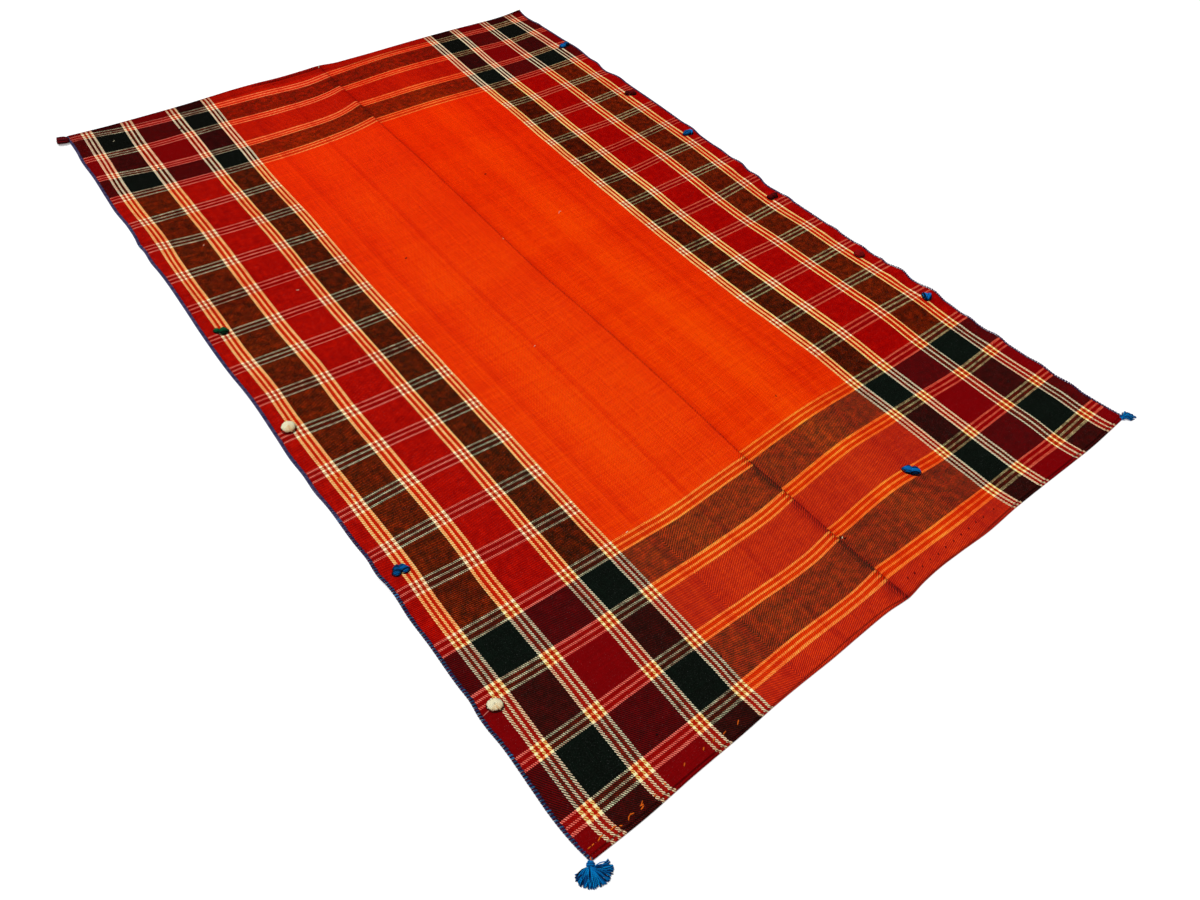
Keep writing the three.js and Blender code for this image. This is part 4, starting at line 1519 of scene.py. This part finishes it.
def lobe_spokes(rng, lobe, base, thickness, inner, lightest=0.0):
    """Cut yarn that spreads from the middle of a lobe to its rim."""
    across, along, half_long, turn, half_wide, height = lobe
    strands = []
    for layer, reach, radius, count in ((0.6, 0.8, 1.5 * thickness, 16), (1.0, 1.0, thickness, 30)):
        for number in range(count):
            spoke = 2 * math.pi * (number + rng.uniform(-0.3, 0.3)) / count
            share = np.linspace(inner, reach * rng.uniform(0.86, 1.0), 7)
            along_lobe, beside = half_long * np.cos(spoke) * share, half_wide * np.sin(spoke) * share
            profile = np.sqrt(np.maximum(1 - (share / 1.05) ** 2, 0.02))
            level = base + radius * 0.6 + (height - radius) * layer * profile
            path = np.column_stack([*turned(across, along, turn, along_lobe, beside), level])
            # Painted shade: the lower layer and one side of the lobe are darker; the rest of the tint is
            # random.
            shaded = 0.35 * max(0.0, -math.sin(spoke + math.radians(turn)))
            tint = lightest + 0.35 * (layer < 1) + rng.uniform(0.0, 0.4) + shaded
            strands.append((plan(path), radius * MM, LOBE_TINTS * np.clip(tint, 0, 1)))
    return strands


def lobe_shadow_ring(lobe, base):
    """A painted shadow: a ring of the darkest yarn round the foot of a lobe, where the yarn meets the
    cloth.
    """
    across, along, half_long, turn, half_wide, _ = lobe
    round_it = np.linspace(0, 2 * math.pi, 15)
    along_lobe, beside = (half_long + 0.1) * np.cos(round_it), (half_wide + 0.1) * np.sin(round_it)
    middle = (across + SHADOW_RING_SHIFT[0], along + SHADOW_RING_SHIFT[1])
    level = np.full(len(round_it), base + 0.5)
    path = np.column_stack([*turned(*middle, turn, along_lobe, beside), level])
    return plan(path), 0.9 * MM, 1.0


def yarn_palettes():
    """Light, plain and dark tones for each colour of tuft and tassel yarn, for the strands' random tone and
    their painted shade, and the darkest last, for the tufts' painted shadow rings.
    """
    colours = yarns()
    navy = (0.0, 0.045, 0.15)
    return {
        "blue": [*tones(colours.blue, 1.35, 0.95, 0.6), navy, (0.0, 0.01, 0.05)],
        "sky": [(0.0, 0.62, 0.92), (0.0, 0.46, 0.76), (0.0, 0.25, 0.5), (0.0, 0.04, 0.14)],
        "red": tones(colours.red, 1.35, 1.0, 0.65, 0.35, 0.2),
        "crimson": tones(colours.crimson, 1.35, 1.1, 0.75, 0.4, 0.3),
        "white": [*tones(colours.white, 1.0, 1.0), (0.98, 0.85, 0.64), (0.84, 0.6, 0.4), (0.2, 0.05, 0.03)],
        "leaf": tones(colours.leaf, 1.1, 0.8, 0.5, 0.25, 0.12),
    }


def bundle(name, node, strands, material, sides=6):
    piece = yarn_strands(name, strands, material, sides)
    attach(piece, "root")
    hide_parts(node)
    return piece


def bound_brush(rng, neck, fan, strand_count, radius, waist, tallest):
    """A tassel: yarn bound at the neck that fans out on the floor. Neck is its start and end in
    plan and its half width; fan is a row of (turn in degrees, length) from one side to the other."""
    start, end, half = np.array(neck[0]), np.array(neck[1]), neck[2]
    axis = (end - start) / np.linalg.norm(end - start)
    beside = np.array([-axis[1], axis[0]])
    turns, lengths = np.array(fan, float).T
    sign = 1 if turns[0] > turns[-1] else -1
    sweep = np.array([0, 0.1, 0.25, 0.45, 0.7, 0.88, 1.0])
    turned_away = np.clip(sweep * 3, 0, 1)[:, None]
    swell = np.sin(math.pi * np.clip(sweep * 0.8 + 0.22, 0, 1))
    strands = []
    for _ in range(strand_count):
        share = rng.uniform(0, 1)
        turn = np.interp(share, np.linspace(0, 1, len(turns)), turns)
        length = np.interp(turn, *zip(*sorted(zip(turns, lengths)))) * rng.uniform(0.8, 1.0)
        turn = math.radians(turn + rng.normal() * 7)
        way = np.array([math.cos(turn), math.sin(turn)])
        off = beside * half * 0.8 * sign * (1 - 2 * share)
        level = rng.uniform(0.15, 1.0)
        curl = rng.uniform(-0.12, 0.12) * length * np.sin(sweep * math.pi)
        towards = axis * (1 - turned_away) * 0.6 + way * turned_away
        place = end + off * (1 - 0.5 * sweep[:, None]) + length * sweep[:, None] * towards
        place = place + np.outer(curl, (-way[1], way[0]))
        height = radius + 0.1 + (tallest - radius) * level * (0.35 + 0.65 * swell) * (1 - 0.85 * sweep**2)
        # Painted shade: lower strands are darker; the rest of the tint is random.
        tint = np.clip(rng.uniform(0, 1) ** 1.1 + 0.4 * (1 - level), 0, 1)
        strands.append((plan(np.column_stack([place, height])), radius * MM, tint))
    for number in range(BINDING_STRANDS):
        turn = math.pi * (number + 0.5) / BINDING_STRANDS
        off = beside * half * 0.75 * math.cos(turn)
        height = 1.6 + (waist - 2) * math.sin(turn)
        place = [start + off * 0.8, (start + end) / 2 + off, end + off, end + off * 1.1 + axis * 4]
        path = np.column_stack([np.array(place), np.array([0.7, 1.0, 1.0, 0.9]) * height])
        strands.append((plan(path), 1.4 * MM, rng.uniform(0.1, 0.6)))
    for ring in np.linspace(0.35, 0.75, BINDING_TURNS):
        turn = np.linspace(0, 2 * math.pi, 13)
        middle = start + (end - start) * ring
        place = middle + np.outer(np.cos(turn) * (half + 0.4), beside)
        height = (waist / 2 + 0.9) + (waist / 2 + 0.2) * np.sin(turn)
        path = np.column_stack([place + np.outer(turn * 0.12, axis), height])
        strands.append((plan(path), 0.8 * MM, rng.uniform(0.2, 0.6)))
    return strands


def cut_bundle(rng, start, turn, length, half_wide, height, radius):
    """A thick bundle of yarn lying on its side with its ends cut straight across."""
    turn = math.radians(turn)
    axis = np.array([math.cos(turn), math.sin(turn)])
    beside = np.array([-axis[1], axis[0]])
    strands = []
    step = 1.75 * radius
    for row, level in enumerate(np.arange(-height / 2 + radius, height / 2 - radius + 0.1, step)):
        reach = half_wide * math.sqrt(max(0.0, 1 - (2 * level / height) ** 2))
        first = -reach + radius * 0.6 + (row % 2) * step / 2
        for off in np.arange(first, reach, step):
            share = np.array([0.0, 0.16, 0.36, 0.7, 1.0])
            narrow = np.array([0.55, 0.84, 1.0, 1.02, 0.97]) + rng.uniform(-0.02, 0.02)
            place = np.array(start) + np.outer(share * (length + rng.uniform(-0.9, 0.9)), axis)
            place = place + np.outer(narrow * off, beside)
            middle = height / 2 * np.array([0.72, 0.9, 1, 1, 1])
            path = np.column_stack([place, np.maximum(middle + narrow * level, radius)])
            strands.append((plan(path), radius * MM, rng.uniform(0.0, 0.9)))
    return strands


def loose_strands(rng):
    """The few strands that are left of the far right corner's tassel."""
    strands = []
    share = np.linspace(0, 1, 5)
    for _ in range(9):
        turn, length = rng.uniform(10, 80), rng.uniform(9, 19)
        bend = rng.uniform(-3, 3) * np.sin(share * math.pi)
        path = np.column_stack([*turned(*LOOSE_TIP, turn, share * length, bend), 3.2 - 2.4 * share])
        strands.append((plan(path), 0.5 * MM, rng.uniform(0.0, 0.5)))
    return strands


class JAJIM_OT_tassels(bpy.types.Operator):
    """Sew a tassel to each corner"""

    bl_idname = "jajim.tassels"
    bl_label = "Tassels"

    def execute(self, context):
        rng = np.random.default_rng(33)
        palettes = yarn_palettes()
        blue, red, white = (
            yarn_material(f"tassel_yarn_{colour}", palettes[colour][:4], 0.35)
            for colour in ("sky", "red", "white")
        )
        for corner, brush in BRUSHES.items():
            strands = bound_brush(rng, *brush)
            bundle(f"corner_tassel_{corner}", f"tassel_{corner}", strands, blue)
        far_left = cut_bundle(rng, (12.4, 2306.6), 162, 28, 12.5, 15.5, 1.25)
        bundle("corner_tassel_far_left", "tassel_far_left", far_left, red)
        bundle("corner_tassel_far_right", "tassel_far_right", loose_strands(rng), white)
        return {"FINISHED"}


class JAJIM_OT_tufts(bpy.types.Operator):
    """Knot the small yarn tufts through the borders"""

    bl_idname = "jajim.tufts"
    bl_label = "Tufts"

    def execute(self, context):
        rng = np.random.default_rng(44)
        materials = {
            colour: yarn_material(f"tuft_yarn_{colour}", palette, 0.25 if colour == "white" else 0.5)
            for colour, palette in yarn_palettes().items()
        }
        for name, (colour, lie, darkness, lobes) in TUFTS.items():
            strands = []
            for lobe in lobes:
                base = float(cloth_top(lobe[0], lobe[1])) + 0.1
                if lie == "loops":
                    strands.extend(lobe_loops(rng, lobe, base, LOOP_YARN, darkness))
                else:
                    strands.extend(lobe_spokes(rng, lobe, base, *SPOKES[lie], darkness))
                strands.append(lobe_shadow_ring(lobe, base))
            bundle(f"yarn_tuft_{name}", f"tuft_{name}", strands, materials[colour])
        return {"FINISHED"}


# ---- Stage ------------------------------------------------------------------------------------------


FLOOR_GLOW = 0.22           # makes the floor look white without lighting the rug
KEY_TOWARDS = (-0.22, 0.5, 0.84)


def seen_directly(wire):
    """1 for what the camera sees, also in a mirror or through glass, and 0 for light on the rug."""
    path = wire.add("ShaderNodeLightPath").outputs
    return highest(*(wire.read(path[f"Is {kind} Ray"]) for kind in ("Camera", "Glossy", "Transmission")))


class JAJIM_OT_stage(bpy.types.Operator):
    """Set a pale floor, a soft key light, an even sky and the camera"""

    bl_idname = "jajim.stage"
    bl_label = "Stage"

    def execute(self, context):
        scene = context.scene
        settings = scene.jajim_stage
        scene.view_settings.view_transform = "Standard"
        self.add_floor()
        self.add_key_light(settings)
        self.add_sky(scene, settings)
        self.add_camera(scene, settings)
        return {"FINISHED"}

    def add_floor(self):
        bpy.ops.object.select_all(action="DESELECT")
        bpy.ops.mesh.primitive_plane_add(size=40.0, location=(0, 0, 0))
        floor = bpy.context.active_object
        floor.name = "floor"
        material, wire, shader = new_material("pale_floor", 1.0, 0.0)
        shader.inputs["Base Color"].default_value = (0.9, 0.9, 0.9, 1.0)
        shader.inputs["Emission Color"].default_value = (1.0, 1.0, 1.0, 1.0)
        wire.feed(shader.inputs["Emission Strength"], seen_directly(wire) * FLOOR_GLOW)
        floor.data.materials.append(material)

    def add_key_light(self, settings):
        lamp = bpy.data.lights.new("key", "SUN")
        lamp.energy = settings.key_strength
        lamp.angle = math.radians(24)
        key = bpy.data.objects.new("key", lamp)
        key.rotation_euler = Vector(KEY_TOWARDS).to_track_quat("Z", "Y").to_euler()
        bpy.context.scene.collection.objects.link(key)

    def add_sky(self, scene, settings):
        world = bpy.data.worlds.new("even_sky")
        scene.world = world
        world.use_nodes = True
        wire = Wiring(world.node_tree)
        background = world.node_tree.nodes["Background"]
        background.inputs["Color"].default_value = (1.0, 1.0, 1.0, 1.0)
        strength = wire.between(seen_directly(wire), settings.sky_strength, 1.0)
        wire.feed(background.inputs["Strength"], strength)

    def add_camera(self, scene, settings):
        lens = bpy.data.cameras.new("camera")
        lens.sensor_width = 36.0
        lens.lens = settings.lens
        lens.clip_end = 200.0
        camera = bpy.data.objects.new("camera", lens)
        right, up = Vector(CAMERA_RIGHT), Vector(CAMERA_UP)
        back = right.cross(up).normalized()
        right = up.cross(back).normalized()
        turned = Matrix((right, up, back)).transposed().to_4x4()
        place = Vector(CAMERA_PLACE) + Vector(NOMINAL_MIDDLE) * MM + CORNER
        camera.matrix_world = Matrix.Translation(place) @ turned
        scene.collection.objects.link(camera)
        scene.camera = camera


# ---- The add-on -------------------------------------------------------------------------------------

OPERATORS = (
    JAJIM_OT_stage,
    JAJIM_OT_woven_lengths,
    JAJIM_OT_overcast_edges,
    JAJIM_OT_sewing,
    JAJIM_OT_tassels,
    JAJIM_OT_tufts,
    JAJIM_OT_loose_threads,
)


class JAJIM_PT_sidebar(bpy.types.Panel):
    """The rug's pieces and settings"""

    bl_idname = "JAJIM_PT_sidebar"
    bl_label = "Jajim Rug"
    bl_space_type = "VIEW_3D"
    bl_region_type = "UI"
    bl_category = "Jajim Rug"

    def draw(self, context):
        for operator in OPERATORS:
            self.layout.operator(operator.bl_idname)
        for group in (context.scene.jajim_weave, context.scene.jajim_yarns, context.scene.jajim_stage):
            box = self.layout.box()
            for name in group.bl_rna.properties.keys():
                if name not in ("name", "rna_type"):
                    box.prop(group, name)


CLASSES = (JajimYarns, JajimWeave, JajimStage, *OPERATORS, JAJIM_PT_sidebar)


def register():
    for registered in CLASSES:
        bpy.utils.register_class(registered)
    bpy.types.Scene.jajim_yarns = PointerProperty(type=JajimYarns)
    bpy.types.Scene.jajim_weave = PointerProperty(type=JajimWeave)
    bpy.types.Scene.jajim_stage = PointerProperty(type=JajimStage)


def unregister():
    del bpy.types.Scene.jajim_stage
    del bpy.types.Scene.jajim_weave
    del bpy.types.Scene.jajim_yarns
    for registered in reversed(CLASSES):
        bpy.utils.unregister_class(registered)


def main():
    register()
    bpy.ops.jajim.stage()
    bpy.ops.jajim.woven_lengths()
    bpy.ops.jajim.overcast_edges()
    bpy.ops.jajim.sewing()
    bpy.ops.jajim.tassels()
    bpy.ops.jajim.tufts()
    bpy.ops.jajim.loose_threads()


if __name__ == "__main__":
    main()
